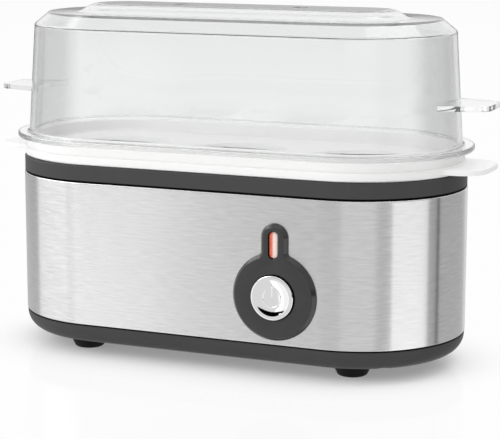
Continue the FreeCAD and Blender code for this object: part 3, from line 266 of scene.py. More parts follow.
floorSet = {
    "reach": 3.0,
    "colour": (0.95, 0.95, 0.95, 1.0),
    "white": 0.28,  # share of plain white under the object
    "fade": (-0.014, 0.030),  # metres outside its outline, between which the paper goes to plain white
    "gloss": 0.05,
    "blur": 0.10,
}


def makeFloor(values):
    mesh = bpy.data.meshes.new("floor")
    reach = values["reach"]
    corners = [(-reach, -reach, 0), (reach, -reach, 0), (reach, reach, 0), (-reach, reach, 0)]
    mesh.from_pydata(corners, [], [(0, 1, 2, 3)])
    floor = bpy.data.objects.new("floor", mesh)
    scene.collection.objects.link(floor)
    material = bpy.data.materials.new("floorPaper")
    material.use_nodes = True
    tree = material.node_tree
    tree.nodes.clear()
    matt = addNode(tree, "ShaderNodeBsdfDiffuse")
    feed(tree, matt, "Color", values["colour"])
    glow = addNode(tree, "ShaderNodeEmission")
    path = addNode(tree, "ShaderNodeLightPath")
    seen = sum2(tree, "MAXIMUM", path.outputs["Is Camera Ray"], path.outputs["Is Transmission Ray"])
    # shadows lie on the paper near the object's oval, and further off it goes to plain white
    place = axes(tree)
    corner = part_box("body_sleeve")[1]
    along = sum2(tree, "SUBTRACT", sum2(tree, "ABSOLUTE", place["X"]), corner.x - corner.y)
    along = sum2(tree, "POWER", sum2(tree, "MAXIMUM", along, 0.0), 2.0)
    away = sum2(tree, "SQRT", sum2(tree, "ADD", along, sum2(tree, "POWER", place["Y"], 2.0)))
    fade = between(tree, sum2(tree, "SUBTRACT", away, corner.y), *values["fade"])
    fade.inputs["To Min"].default_value = values["white"]
    share = sum2(tree, "MULTIPLY", seen, fade.outputs[0])
    paper = addNode(tree, "ShaderNodeMixShader")
    join(tree, share, paper.inputs[0])
    join(tree, matt.outputs[0], paper.inputs[1])
    join(tree, glow.outputs[0], paper.inputs[2])
    gloss = addNode(tree, "ShaderNodeBsdfGlossy")
    feed(tree, gloss, "Roughness", values["blur"])
    top = addNode(tree, "ShaderNodeMixShader")
    top.inputs[0].default_value = values["gloss"]
    join(tree, paper.outputs[0], top.inputs[1])
    join(tree, gloss.outputs[0], top.inputs[2])
    output = addNode(tree, "ShaderNodeOutputMaterial")
    join(tree, top.outputs[0], output.inputs["Surface"])
    mesh.materials.append(material)
    floor.visible_glossy = False


makeFloor(floorSet)
print("studio and floor made")


# shared effects
def newGroup(name, inputs, outputs):
    group = bpy.data.node_groups.new(name, "ShaderNodeTree")
    for label, kind, value in inputs:
        socket = group.interface.new_socket(label, in_out="INPUT", socket_type=kind)
        socket.default_value = value
    for label, kind in outputs:
        group.interface.new_socket(label, in_out="OUTPUT", socket_type=kind)
    return group, addNode(group, "NodeGroupInput").outputs, addNode(group, "NodeGroupOutput").inputs


number = "NodeSocketFloat"
colour = "NodeSocketColor"
arrow = "NodeSocketVector"
surfaceOutputs = [("Colour", colour), ("Roughness", number), ("Height", number)]


def noise(tree, where, scale, detail=2.0, rough=0.5):
    node = addNode(tree, "ShaderNodeTexNoise")
    join(tree, where, node.inputs["Vector"])
    feed(tree, node, "Scale", scale)
    feed(tree, node, "Detail", detail)
    feed(tree, node, "Roughness", rough)
    return node.outputs["Fac"]


def varied(tree, base, amount, texture):
    # base times 1 plus or minus amount, as the texture goes
    swing = sum2(tree, "MULTIPLY", sum2(tree, "SUBTRACT", texture, 0.5), amount)
    node = addNode(tree, "ShaderNodeVectorMath", operation="SCALE")
    join(tree, base, node.inputs[0])
    join(tree, sum2(tree, "ADD", swing, 1.0), node.inputs["Scale"])
    return node.outputs[0]


def shifted(tree, base, amount, texture):
    swing = sum2(tree, "MULTIPLY", sum2(tree, "SUBTRACT", texture, 0.5), amount)
    return sum2(tree, "ADD", base, swing, clamp=True)


def mouldedGroup():
    # moulded plastic, rubber and glass: a fine skin and slow shifts of tone
    group, come, give = newGroup("mouldedSkin", [
        ("Colour", colour, (0.5, 0.5, 0.5, 1.0)), ("Shade", number, 0.1), ("Roughness", number, 0.4),
        ("Polish", number, 0.1), ("Grain", number, 2500.0), ("Cloud", number, 40.0),
    ], surfaceOutputs)
    where = addNode(group, "ShaderNodeTexCoord").outputs["Object"]
    fine = noise(group, where, come["Grain"], 2.0, 0.6)
    slow = noise(group, where, come["Cloud"], 3.0, 0.55)
    tone = sum2(group, "ADD", sum2(group, "MULTIPLY", slow, 0.7), sum2(group, "MULTIPLY", fine, 0.3))
    join(group, varied(group, come["Colour"], come["Shade"], tone), give["Colour"])
    join(group, shifted(group, come["Roughness"], come["Polish"], slow), give["Roughness"])
    join(group, fine, give["Height"])
    return group


def brushedGroup():
    # drawn or brushed metal: fine lines, as many to the metre each way as the vector says
    group, come, give = newGroup("brushedLines", [
        ("Colour", colour, (0.7, 0.7, 0.7, 1.0)), ("Shade", number, 0.1), ("Roughness", number, 0.3),
        ("Polish", number, 0.1), ("Lines", arrow, (12.0, 12.0, 1500.0)), ("Cloud", number, 30.0),
    ], surfaceOutputs)
    where = addNode(group, "ShaderNodeTexCoord").outputs["Object"]
    stretch = addNode(group, "ShaderNodeVectorMath", operation="MULTIPLY")
    join(group, where, stretch.inputs[0])
    join(group, come["Lines"], stretch.inputs[1])
    lines = noise(group, stretch.outputs[0], 1.0, 4.0, 0.65)
    slow = noise(group, where, come["Cloud"], 2.0, 0.5)
    tone = sum2(group, "ADD", sum2(group, "MULTIPLY", lines, 0.85), sum2(group, "MULTIPLY", slow, 0.15))
    join(group, varied(group, come["Colour"], come["Shade"], tone), give["Colour"])
    join(group, shifted(group, come["Roughness"], come["Polish"], lines), give["Roughness"])
    join(group, lines, give["Height"])
    return group


mouldedSkin = mouldedGroup()
brushedLines = brushedGroup()


def finishMaterial(name, group, values):
    # one Principled surface whose colour, roughness and relief come from a shared group
    material = bpy.data.materials.new(name)
    material.use_nodes = True
    tree = material.node_tree
    tree.nodes.clear()
    surface = addNode(tree, "ShaderNodeBsdfPrincipled")
    skin = addNode(tree, "ShaderNodeGroup", node_tree=group)
    for label in ("Colour", "Shade", "Roughness", "Polish", "Grain", "Cloud", "Lines"):
        if label in values:
            feed(tree, skin, label, values[label])
    join(tree, skin.outputs["Colour"], surface.inputs["Base Color"])
    join(tree, skin.outputs["Roughness"], surface.inputs["Roughness"])
    bump = addNode(tree, "ShaderNodeBump")
    bump.inputs["Strength"].default_value = values.get("relief", 0.1)
    bump.inputs["Distance"].default_value = values.get("depth", 0.05) * mm
    join(tree, skin.outputs["Height"], bump.inputs["Height"])
    join(tree, bump.outputs["Normal"], surface.inputs["Normal"])
    for label, value in values.get("sockets", {}).items():
        surface.inputs[label].default_value = value
    output = addNode(tree, "ShaderNodeOutputMaterial")
    join(tree, surface.outputs["BSDF"], output.inputs["Surface"])
    return material, tree, surface, output


def dimColour(tree, surface, share):
    # the colour that a surface has already, times a share
    tone = addNode(tree, "ShaderNodeVectorMath", operation="SCALE")
    join(tree, surface.inputs["Base Color"].links[0].from_socket, tone.inputs[0])
    join(tree, share, tone.inputs["Scale"])
    join(tree, tone.outputs[0], surface.inputs["Base Color"])


def grey(level, warm=0.0):
    return (level * (1 + warm), level, level * (1 - warm), 1.0)


plastics = {
    "white_plastic": {"Colour": (0.84, 0.84, 0.835, 1.0), "Shade": 0.03, "Roughness": 0.32, "Polish": 0.10,
                      "Grain": 1800.0, "relief": 0.05,
                      "sockets": {"Subsurface Weight": 0.25, "Subsurface Radius": (0.004, 0.004, 0.004),
                                  "Subsurface Scale": 1.0, "IOR": 1.49}},
    "grey_plastic": {"Colour": grey(0.057), "Shade": 0.16, "Roughness": 0.42, "Polish": 0.12,
                     "Grain": 2200.0, "relief": 0.16, "sockets": {"Specular IOR Level": 0.12}},
    "bezel_plastic": {"Colour": grey(0.027), "Shade": 0.12, "Roughness": 0.36, "Polish": 0.10,
                      "Grain": 2600.0, "relief": 0.10},
    "black_plastic": {"Colour": grey(0.022), "Shade": 0.2, "Roughness": 0.45, "Polish": 0.12,
                      "Grain": 2200.0, "relief": 0.2},
    "block_plastic": {"Colour": (0.62, 0.60, 0.55, 1.0), "Shade": 0.08, "Roughness": 0.5, "Polish": 0.1,
                      "Grain": 2000.0, "relief": 0.1},
    "foot_rubber": {"Colour": grey(0.004), "Shade": 0.3, "Roughness": 0.6, "Polish": 0.15,
                    "Grain": 1600.0, "relief": 0.2, "sockets": {"IOR": 1.22}},
    "silicone": {"Colour": (0.55, 0.09, 0.06, 1.0), "Shade": 0.1, "Roughness": 0.55, "Polish": 0.1,
                 "Grain": 1500.0, "relief": 0.1},
    "lens_plastic": {"Colour": (0.70, 0.06, 0.02, 1.0), "Shade": 0.1, "Roughness": 0.15, "Polish": 0.05,
                     "Grain": 900.0, "relief": 0.02},
    "lamp_glass": {"Colour": (0.85, 0.35, 0.22, 1.0), "Shade": 0.05, "Roughness": 0.06, "Polish": 0.02,
                   "Grain": 600.0, "relief": 0.01},
    "lead_brown": {"Colour": (0.16, 0.055, 0.022, 1.0), "Shade": 0.15, "Roughness": 0.5, "Polish": 0.1},
    "lead_white": {"Colour": (0.72, 0.71, 0.68, 1.0), "Shade": 0.06, "Roughness": 0.5, "Polish": 0.1},
    "lead_blue": {"Colour": (0.03, 0.11, 0.42, 1.0), "Shade": 0.12, "Roughness": 0.5, "Polish": 0.1},
    "lead_green": {"Colour": (0.14, 0.34, 0.05, 1.0), "Shade": 0.15, "Roughness": 0.5, "Polish": 0.1},
}

metals = {
    "sleeve_steel": {"Colour": grey(0.76), "Shade": 0.45, "Roughness": 0.23, "Polish": 0.10,
                     "Lines": (160.0, 160.0, 1500.0), "relief": 0.16, "depth": 0.02,
                     "sockets": {"Metallic": 1.0, "Anisotropic": 1.0, "Anisotropic Rotation": 0.25}},
    "button_chrome": {"Colour": grey(0.90), "Shade": 0.02, "Roughness": 0.05, "Polish": 0.02,
                      "Lines": (900.0, 900.0, 900.0), "relief": 0.01,
                      "sockets": {"Metallic": 1.0}},
    "plate_steel": {"Colour": grey(0.66), "Shade": 0.10, "Roughness": 0.30, "Polish": 0.12,
                    "Lines": (18.0, 900.0, 900.0), "relief": 0.08, "depth": 0.02,
                    "sockets": {"Metallic": 1.0}},
    "spreader_aluminium": {"Colour": grey(0.72), "Shade": 0.12, "Roughness": 0.42, "Polish": 0.15,
                           "Lines": (300.0, 300.0, 300.0), "relief": 0.1, "sockets": {"Metallic": 1.0}},
    "element_steel": {"Colour": grey(0.46, 0.03), "Shade": 0.2, "Roughness": 0.38, "Polish": 0.15,
                      "Lines": (400.0, 400.0, 400.0), "relief": 0.1, "sockets": {"Metallic": 1.0}},
    "terminal_brass": {"Colour": (0.72, 0.52, 0.24, 1.0), "Shade": 0.12, "Roughness": 0.32, "Polish": 0.12,
                       "Lines": (500.0, 500.0, 500.0), "relief": 0.06, "sockets": {"Metallic": 1.0}},
    "zinc_steel": {"Colour": (0.62, 0.63, 0.65, 1.0), "Shade": 0.14, "Roughness": 0.33, "Polish": 0.14,
                   "Lines": (500.0, 500.0, 500.0), "relief": 0.06, "sockets": {"Metallic": 1.0}},
    "fuse_metal": {"Colour": (0.70, 0.62, 0.45, 1.0), "Shade": 0.12, "Roughness": 0.3, "Polish": 0.12,
                   "Lines": (500.0, 500.0, 500.0), "relief": 0.05, "sockets": {"Metallic": 1.0}},
}

finishes = {}
for slot, values in plastics.items():
    if slot not in ("bezel_plastic", "grey_plastic", "lens_plastic"):
        finishes[slot] = finishMaterial(slot, mouldedSkin, values)[0]
for slot, values in metals.items():
    finishes[slot], tree, surface = finishMaterial(slot, brushedLines, values)[:3]
    if slot == "sleeve_steel":
        tangent = addNode(tree, "ShaderNodeTangent", direction_type="RADIAL", axis="Z")
        join(tree, tangent.outputs[0], surface.inputs["Tangent"])

clearSet = {
    "Colour": (0.925, 0.93, 0.93, 1.0), "Shade": 0.01, "Roughness": 0.015, "Polish": 0.01,
    "Grain": 400.0, "Cloud": 25.0, "relief": 0.01,
    "bounces": (3.0, 15.0),  # light bent more and more often goes straight on
    "shadow": 0.93,  # share of the light that is left in its shadow
    "slope": (0.77, 0.06),  # how far up the sloping edge of the top faces, give or take
    # painted shade on the sloping edge of the top
    "paintedSlopeShade": 0.93,
    "edge": 0.73,  # tone of the painted shade on upright walls seen at a slant
    "slant": (0.12, 0.32),
    "rim": (0.64, 0.74),  # and at a sharper slant the wall's own edge is clear again
    "upright": (0.55, 0.25),  # how far up a face that is no wall looks, and one that is
    "sockets": {"Transmission Weight": 1.0, "IOR": 1.50},
}


def makeClear(values):
    # shadows, and light that was bent many times, go straight through
    material, tree, surface, output = finishMaterial("clear_plastic", mouldedSkin, values)
    path = addNode(tree, "ShaderNodeLightPath")
    through = addNode(tree, "ShaderNodeBsdfTransparent")
    through.inputs["Color"].default_value = grey(values["shadow"])
    deep = between(tree, path.outputs["Ray Depth"], *values["bounces"], kind="LINEAR").outputs[0]
    # a wall seen at a slant is darker: partly for the longer path through the plastic, partly painted
    # shade for the darker room seen through it
    facing = addNode(tree, "ShaderNodeLayerWeight").outputs["Facing"]
    slant = between(tree, facing, *values["slant"]).outputs[0]
    rim = between(tree, facing, *values["rim"]).outputs[0]
    rise = sum2(tree, "ABSOLUTE", axes(tree, "Normal")["Z"])
    upright = between(tree, rise, *values["upright"]).outputs[0]
    amount = sum2(tree, "MULTIPLY", sum2(tree, "SUBTRACT", slant, rim), upright)
    # the sloping edge of the top gets painted shade as well
    sloping = sum2(tree, "COMPARE", rise, *values["slope"])
    dim = sum2(tree, "MULTIPLY_ADD", amount, values["edge"] - 1.0, 1.0)
    dim = sum2(tree, "MULTIPLY", dim, sum2(tree, "MULTIPLY_ADD", sloping, values["paintedSlopeShade"] - 1.0, 1.0))
    dimColour(tree, surface, dim)
    either = addNode(tree, "ShaderNodeMixShader")
    share = sum2(tree, "MAXIMUM", path.outputs["Is Shadow Ray"], path.outputs["Is Diffuse Ray"])
    join(tree, sum2(tree, "MAXIMUM", share, deep), either.inputs[0])
    join(tree, surface.outputs["BSDF"], either.inputs[1])
    join(tree, through.outputs["BSDF"], either.inputs[2])
    join(tree, either.outputs[0], output.inputs["Surface"])
    return material


finishes["clear_plastic"] = makeClear(clearSet)

bezelSet = {"chamferRoughness": 0.12, "faceDepth": 0.05}  # the face is satin this far back, in mm


def makeBezel(values, face):
    # satin on the front face only: the chamfer and the edge are polished
    slot = "bezel_plastic"
    material, tree, surface = finishMaterial(slot, mouldedSkin, plastics[slot])[:3]
    onFace = sum2(tree, "LESS_THAN", axes(tree)["Y"], face.y + values["faceDepth"] * mm)
    satin = surface.inputs["Roughness"].links[0].from_socket
    mixed = addNode(tree, "ShaderNodeMix", data_type="FLOAT")
    feed(tree, mixed, 0, onFace)
    feed(tree, mixed, 2, values["chamferRoughness"])
    feed(tree, mixed, 3, satin)
    join(tree, mixed.outputs[0], surface.inputs["Roughness"])
    return material


finishes["bezel_plastic"] = makeBezel(bezelSet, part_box("control_bezel")[0])

# mm below and above the sleeve, and within it, where the dark plastic gets painted shade; tone is the
# share of the colour left in that painted shade
gapShadeSet = {"under": 0.5, "over": 0.8, "inside": 3.0, "tone": 0.03}


def paintGapShade(values, sleeve):
    # painted shade: the dark plastic is painted near black and matt in the two narrow gaps at the sleeve's
    # edges, where shadow falls
    slot = "grey_plastic"
    material, tree, surface = finishMaterial(slot, mouldedSkin, plastics[slot])[:3]
    height = axes(tree)["Z"]
    masks = []
    for low, high in ((sleeve[0].z - values["under"] * mm, sleeve[0].z + values["inside"] * mm),
                      (sleeve[1].z - values["inside"] * mm, sleeve[1].z + values["over"] * mm)):
        above = sum2(tree, "GREATER_THAN", height, low)
        masks.append(sum2(tree, "MULTIPLY", above, sum2(tree, "LESS_THAN", height, high)))
    # painted shade in both gaps, on the plastic just below and just above the sleeve
    gap = sum2(tree, "MAXIMUM", masks[0], masks[1])
    dimColour(tree, surface, sum2(tree, "MULTIPLY_ADD", gap, values["tone"] - 1.0, 1.0))
    rough = sum2(tree, "MAXIMUM", surface.inputs["Roughness"].links[0].from_socket, gap)
    join(tree, rough, surface.inputs["Roughness"])
    return material


finishes["grey_plastic"] = paintGapShade(gapShadeSet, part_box("body_sleeve"))

# across the window, as painted colour: painted shade at both ends, the lamp side on the left, and a pale
# painted reflection on the right
lensHalf = 1.95 * mm
lensLampAndPaintedReflection = [(0.0, (0.22, 0.03, 0.02)), (0.12, (0.62, 0.10, 0.05)), (0.40, (0.70, 0.20, 0.12)),
               (0.54, (0.86, 0.66, 0.60)), (0.88, (0.90, 0.78, 0.74)), (1.0, (0.40, 0.20, 0.17))]


def makeLensWithPaintedReflection(stops, low, high):
    slot = "lens_plastic"
    material, tree, surface = finishMaterial(slot, mouldedSkin, plastics[slot])[:3]
    # colour painted by place across the slot, with its painted reflection and painted shade
    across = between(tree, axes(tree)["X"], low, high, kind="LINEAR")
    ramp = addNode(tree, "ShaderNodeValToRGB")
    join(tree, across.outputs[0], ramp.inputs[0])
    while len(ramp.color_ramp.elements) < len(stops):
        ramp.color_ramp.elements.new(0.5)
    for element, (place, tint) in zip(ramp.color_ramp.elements, stops):
        element.position = place
        element.color = (*tint, 1.0)
    skin = surface.inputs["Base Color"].links[0].from_node
    join(tree, ramp.outputs[0], skin.inputs["Colour"])
    return material


lensLow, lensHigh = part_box("indicator_lens")
lensMiddle = (lensLow.x + lensHigh.x) / 2
finishes["lens_plastic"] = makeLensWithPaintedReflection(lensLampAndPaintedReflection, lensMiddle - lensHalf, lensMiddle + lensHalf)

for part in frame["record"]["subparts"]:
    node = frame["nodes"][part["node"]]
    node.data.materials.clear()
    node.data.materials.append(finishes[part["material_slot"]])
print("finishes given to", len(frame["nodes"]), "nodes")


# Geometry Nodes: one profile carried round an oval makes every turned or oval piece here
tiny = 0.002 * mm  # points nearer than this are one


def geometryTree(name, inputs):
    tree = bpy.data.node_groups.new(name, "GeometryNodeTree")
    tree.interface.new_socket("Geometry", in_out="INPUT", socket_type="NodeSocketGeometry")
    for label, kind in inputs:
        tree.interface.new_socket(label, in_out="INPUT", socket_type=kind)
    tree.interface.new_socket("Geometry", in_out="OUTPUT", socket_type="NodeSocketGeometry")
    return tree, addNode(tree, "NodeGroupInput").outputs, addNode(tree, "NodeGroupOutput").inputs


def closeTree(tree, mesh, material, give):
    # every tree ends here: plain smooth faces in one material
    smooth = addNode(tree, "GeometryNodeSetShadeSmooth")
    join(tree, mesh, smooth.inputs["Geometry"])
    real = addNode(tree, "GeometryNodeRealizeInstances")
    join(tree, smooth.outputs[0], real.inputs[0])
    paint = addNode(tree, "GeometryNodeSetMaterial")
    join(tree, real.outputs[0], paint.inputs["Geometry"])
    join(tree, material, paint.inputs["Material"])
    join(tree, paint.outputs[0], give["Geometry"])


def ovalTree():
    tree, come, give = geometryTree("ovalSweep", [
        ("Half Straight", "NodeSocketFloat"), ("Lead In", "NodeSocketFloat"),
        ("Turn Steps", "NodeSocketInt"), ("Material", "NodeSocketMaterial"),
    ])
    size = addNode(tree, "GeometryNodeAttributeDomainSize", component="MESH")
    join(tree, come["Geometry"], size.inputs[0])
    across = size.outputs["Point Count"]
    lap = sum2(tree, "ADD", come["Turn Steps"], 3.0)  # points in one half turn, with a lead-in at each end
    grid = addNode(tree, "GeometryNodeMeshGrid")
    join(tree, sum2(tree, "MULTIPLY_ADD", lap, 2.0, 1.0), grid.inputs["Vertices X"])
    join(tree, across, grid.inputs["Vertices Y"])
    index = addNode(tree, "GeometryNodeInputIndex").outputs[0]
    row = sum2(tree, "FLOOR", sum2(tree, "DIVIDE", sum2(tree, "ADD", index, 0.5), across))
    column = sum2(tree, "SUBTRACT", index, sum2(tree, "MULTIPLY", row, across))
    sample = addNode(tree, "GeometryNodeSampleIndex", data_type="FLOAT_VECTOR", domain="POINT")
    join(tree, come["Geometry"], sample.inputs["Geometry"])
    join(tree, addNode(tree, "GeometryNodeInputPosition").outputs[0], sample.inputs["Value"])
    join(tree, column, sample.inputs["Index"])
    point = addNode(tree, "ShaderNodeSeparateXYZ")
    join(tree, sample.outputs[0], point.inputs[0])
    along = sum2(tree, "FLOORED_MODULO", row, sum2(tree, "MULTIPLY", lap, 2.0))
    side = sum2(tree, "FLOOR", sum2(tree, "DIVIDE", sum2(tree, "ADD", along, 0.5), lap))
    step = sum2(tree, "SUBTRACT", along, sum2(tree, "MULTIPLY", side, lap))
    share = sum2(tree, "DIVIDE", sum2(tree, "SUBTRACT", step, 1.0), come["Turn Steps"], clamp=True)
    angle = sum2(tree, "MULTIPLY", sum2(tree, "ADD", side, share), math.pi)
    angle = sum2(tree, "SUBTRACT", angle, math.pi / 2)
    first = sum2(tree, "LESS_THAN", step, 0.5)
    last = sum2(tree, "GREATER_THAN", step, sum2(tree, "ADD", come["Turn Steps"], 1.5))
    lead = sum2(tree, "MULTIPLY", sum2(tree, "ADD", first, last), come["Lead In"])
    end = sum2(tree, "SUBTRACT", come["Half Straight"], lead)
    centre = sum2(tree, "MULTIPLY", end, sum2(tree, "MULTIPLY_ADD", side, -2.0, 1.0))
    place = addNode(tree, "ShaderNodeCombineXYZ")
    outX = sum2(tree, "MULTIPLY", point.outputs["X"], sum2(tree, "COSINE", angle))
    join(tree, sum2(tree, "ADD", centre, outX), place.inputs["X"])
    join(tree, sum2(tree, "MULTIPLY", point.outputs["X"], sum2(tree, "SINE", angle)), place.inputs["Y"])
    join(tree, point.outputs["Z"], place.inputs["Z"])
    moved = addNode(tree, "GeometryNodeSetPosition")
    join(tree, grid.outputs[0], moved.inputs["Geometry"])
    join(tree, place.outputs[0], moved.inputs["Position"])
    merged = addNode(tree, "GeometryNodeMergeByDistance")
    join(tree, moved.outputs[0], merged.inputs["Geometry"])
    merged.inputs["Distance"].default_value = tiny
    closeTree(tree, merged.outputs[0], come["Material"], give)
    return tree


ovalSweep = ovalTree()


def runTree(name, mesh, tree, inputs):
    piece = bpy.data.objects.new(name, mesh)
    scene.collection.objects.link(piece)
    modifier = piece.modifiers.new("shape", "NODES")
    modifier.node_group = tree
    for item in tree.interface.items_tree:
        if item.in_out == "INPUT" and item.name in inputs:
            modifier[item.identifier] = inputs[item.name]
    graph = bpy.context.evaluated_depsgraph_get()
    made = bpy.data.meshes.new_from_object(piece.evaluated_get(graph))
    piece.modifiers.clear()
    piece.data = made
    made.name = name
    return piece


def cleanMesh(piece, sharpAngle=35.0):
    # outward faces, no doubles, and edges sharper than the angle stay crisp
    work = bmesh.new()
    work.from_mesh(piece.data)
    bmesh.ops.remove_doubles(work, verts=work.verts, dist=tiny)
    bmesh.ops.dissolve_degenerate(work, edges=work.edges, dist=tiny / 2)
    bmesh.ops.recalc_face_normals(work, faces=work.faces)
    work.to_mesh(piece.data)
    work.free()
    piece.data.shade_smooth()
    piece.data.set_sharp_from_angle(angle=math.radians(sharpAngle))


def roundProfile(corners, closed=False, steps=6, lead=0.3):
    # corners are (radius, height, rounding) in mm; each rounding gets an arc and a short lead-in
    points = []
    count = len(corners)
    for order, corner in enumerate(corners):
        here = Vector(corner[:2])
        bend = corner[2] if len(corner) > 2 else 0.0
        if not bend or (not closed and order in (0, count - 1)):
            points.append(here)
            continue
        back = (Vector(corners[order - 1][:2]) - here).normalized()
        ahead = (Vector(corners[(order + 1) % count][:2]) - here).normalized()
        half = back.angle(ahead) / 2
        reach = bend / math.tan(half)
        middle = here + (back + ahead).normalized() * (bend / math.sin(half))
        start = here + back * reach - middle
        finish = here + ahead * reach - middle
        turn = math.atan2(start.x * finish.y - start.y * finish.x, start.dot(finish))
        points.append(here + back * (reach + lead))
        for step in range(steps + 1):
            angle = turn * step / steps
            cos, sin = math.cos(angle), math.sin(angle)
            points.append(middle + Vector((start.x * cos - start.y * sin, start.x * sin + start.y * cos)))
        points.append(here + ahead * (reach + lead))
    return points


def profileMesh(name, points, closed=False):
    mesh = bpy.data.meshes.new(name)
    flat = [(point.x * mm, 0.0, point.y * mm) for point in points]
    if closed:
        flat.append(flat[0])
    mesh.from_pydata(flat, [(n, n + 1) for n in range(len(flat) - 1)], [])
    return mesh


def sweep(name, points, halfStraight, material, closed=False, turnSteps=64, leadIn=1.0):
    inputs = {
        "Half Straight": halfStraight, "Lead In": leadIn * mm,
        "Turn Steps": turnSteps, "Material": material,
    }
    return runTree(name, profileMesh(name + "Profile", points, closed), ovalSweep, inputs)


def cutterProfile(reach, depth):
    return [Vector(point) for point in ((0, -depth), (reach, -depth), (reach, depth), (0, depth))]


def cutOut(piece, cutters):
    # exact cuts, then the cutters go
    for cutter in cutters:
        modifier = piece.modifiers.new("cut", "BOOLEAN")
        modifier.operation = "DIFFERENCE"
        modifier.solver = "EXACT"
        modifier.object = cutter
    graph = bpy.context.evaluated_depsgraph_get()
    made = bpy.data.meshes.new_from_object(piece.evaluated_get(graph))
    piece.modifiers.clear()
    piece.data = made
    for cutter in cutters:
        bpy.data.objects.remove(cutter)


def faceFront(piece, x, y, z):
    # a piece swept flat is stood up, with its profile's height going back from the front
    for vertex in piece.data.vertices:
        old = vertex.co.copy()
        vertex.co = (x + old.y, y + old.z, z + old.x)


def settle(piece, body, slot, *nodes):
    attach(piece, body)
    if nodes:
        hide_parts(*nodes)


# brushed sleeve, with rounded edges and a shadow gap above the base
sleeveSet = {"wall": 0.8, "bottomGap": 0.05, "topGap": 0.05, "bottomRound": 0.35, "topRound": 0.5,
             "innerRound": 0.2, "bezelHole": 14.7, "tabHole": (4.6, 27.0), "glandHole": 6.2,
             "cutDepth": 4}


def makeSleeve(values):
    low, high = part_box("body_sleeve")
    radius = high.y / mm
    straight = high.x - high.y
    bottom = low.z / mm + values["bottomGap"]
    top = high.z / mm - values["topGap"]
    inner = radius - values["wall"]
    points = roundProfile([
        (radius, bottom, values["bottomRound"]), (radius, top, values["topRound"]),
        (inner, top, values["innerRound"]), (inner, bottom, values["innerRound"]),
    ], closed=True, lead=0.2)
    sleeve = sweep("brushedSleeve", points, straight, finishes["sleeve_steel"], closed=True, turnSteps=72)
    cleanMesh(sleeve)
    cutters = []
    bezelLow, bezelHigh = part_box("control_bezel")
    bezelX = (bezelLow.x + bezelHigh.x) / 2
    bezelZ = bezelLow.z + (bezelHigh.x - bezelLow.x) / 2
    glandLow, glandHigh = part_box("cord_gland")
    glandX = (glandLow.x + glandHigh.x) / 2
    glandZ = (glandLow.z + glandHigh.z) / 2
    for name, reach, x, y, z in (("bezelCut", values["bezelHole"], bezelX, -radius * mm, bezelZ),
                                 ("glandCut", values["glandHole"], glandX, radius * mm, glandZ)):
        cutter = sweep(name, cutterProfile(reach, values["cutDepth"]), 0.0, None, leadIn=0)
        faceFront(cutter, x, y, z)
        cleanMesh(cutter)
        cutters.append(cutter)
    half, tall = values["tabHole"]
    tab = sweep("tabCut", cutterProfile(half, values["cutDepth"]), (tall - half) / 2 * mm, None, leadIn=0)
    faceFront(tab, bezelX, -radius * mm, bezelZ + (tall - half) / 2 * mm)
    cleanMesh(tab)
    cutters.append(tab)
    cutOut(sleeve, cutters)
    cleanMesh(sleeve)
    settle(sleeve, "body", "sleeve_steel", "body_sleeve")


makeSleeve(sleeveSet)
print("sleeve made")


# chrome button: a nearly flat floor, a bowl that steepens, and a flat rim
buttonSet = {
    # mm from the centre, degrees
    "slopes": [(0.0, 0.0), (4.3, 2.5), (4.8, 6.0), (6.8, 14.0), (7.0, 16.0), (7.3, 0.0)],
    "samples": 60,
    "edgeRound": 0.5,
    "wall": 1.3,
    "face": 3.0,
    "socket": (2.45, 4.0, 3.0),  # bore, outside and length of the socket at the back
    "markRing": 3.7,
    "markGap": 38.0,  # half of the opening at the top of the ring, degrees
    "markBar": (0.4, 5.0),
    "markStroke": 0.24,
    "markSteps": (40, 8),  # along the ring and the bar
    "sides": 10,
    "backRound": 0.2,
    "faceRound": 0.3,
}
strokeSharp = 60.0  # round strokes stay smooth up to this angle, degrees


def bowlDepths(values):
    # depth below the rim, from the rim inwards
    slopes = values["slopes"]
    rim = slopes[-1][0]
    depths = [(rim, 0.0)]
    for step in range(1, values["samples"] + 1):
        radius = rim * (1 - step / values["samples"])
        middle = radius + rim / values["samples"] / 2
        for (r0, s0), (r1, s1) in zip(slopes, slopes[1:]):
            if r0 <= middle <= r1:
                slope = s0 + (s1 - s0) * (middle - r0) / (r1 - r0)
        depths.append((radius, depths[-1][1] + math.tan(math.radians(slope)) * rim / values["samples"]))
    return depths


def depthAt(depths, radius):
    for (r1, d1), (r0, d0) in zip(depths, depths[1:]):
        if r0 <= radius <= r1:
            return d0 + (d1 - d0) * (radius - r0) / (r1 - r0)
    return depths[-1][1]


def markTree():
    # round strokes along the edges of a mesh
    tree, come, give = geometryTree("raisedStroke", [
        ("Stroke", "NodeSocketFloat"), ("Sides", "NodeSocketInt"), ("Material", "NodeSocketMaterial"),
    ])
    line = addNode(tree, "GeometryNodeMeshToCurve")
    join(tree, come["Geometry"], line.inputs["Mesh"])
    ring = addNode(tree, "GeometryNodeCurvePrimitiveCircle")
    join(tree, come["Sides"], ring.inputs["Resolution"])
    join(tree, come["Stroke"], ring.inputs["Radius"])
    tube = addNode(tree, "GeometryNodeCurveToMesh")
    join(tree, line.outputs[0], tube.inputs["Curve"])
    join(tree, ring.outputs[0], tube.inputs["Profile Curve"])
    tube.inputs["Fill Caps"].default_value = True
    closeTree(tree, tube.outputs[0], come["Material"], give)
    return tree


roundStroke = markTree()


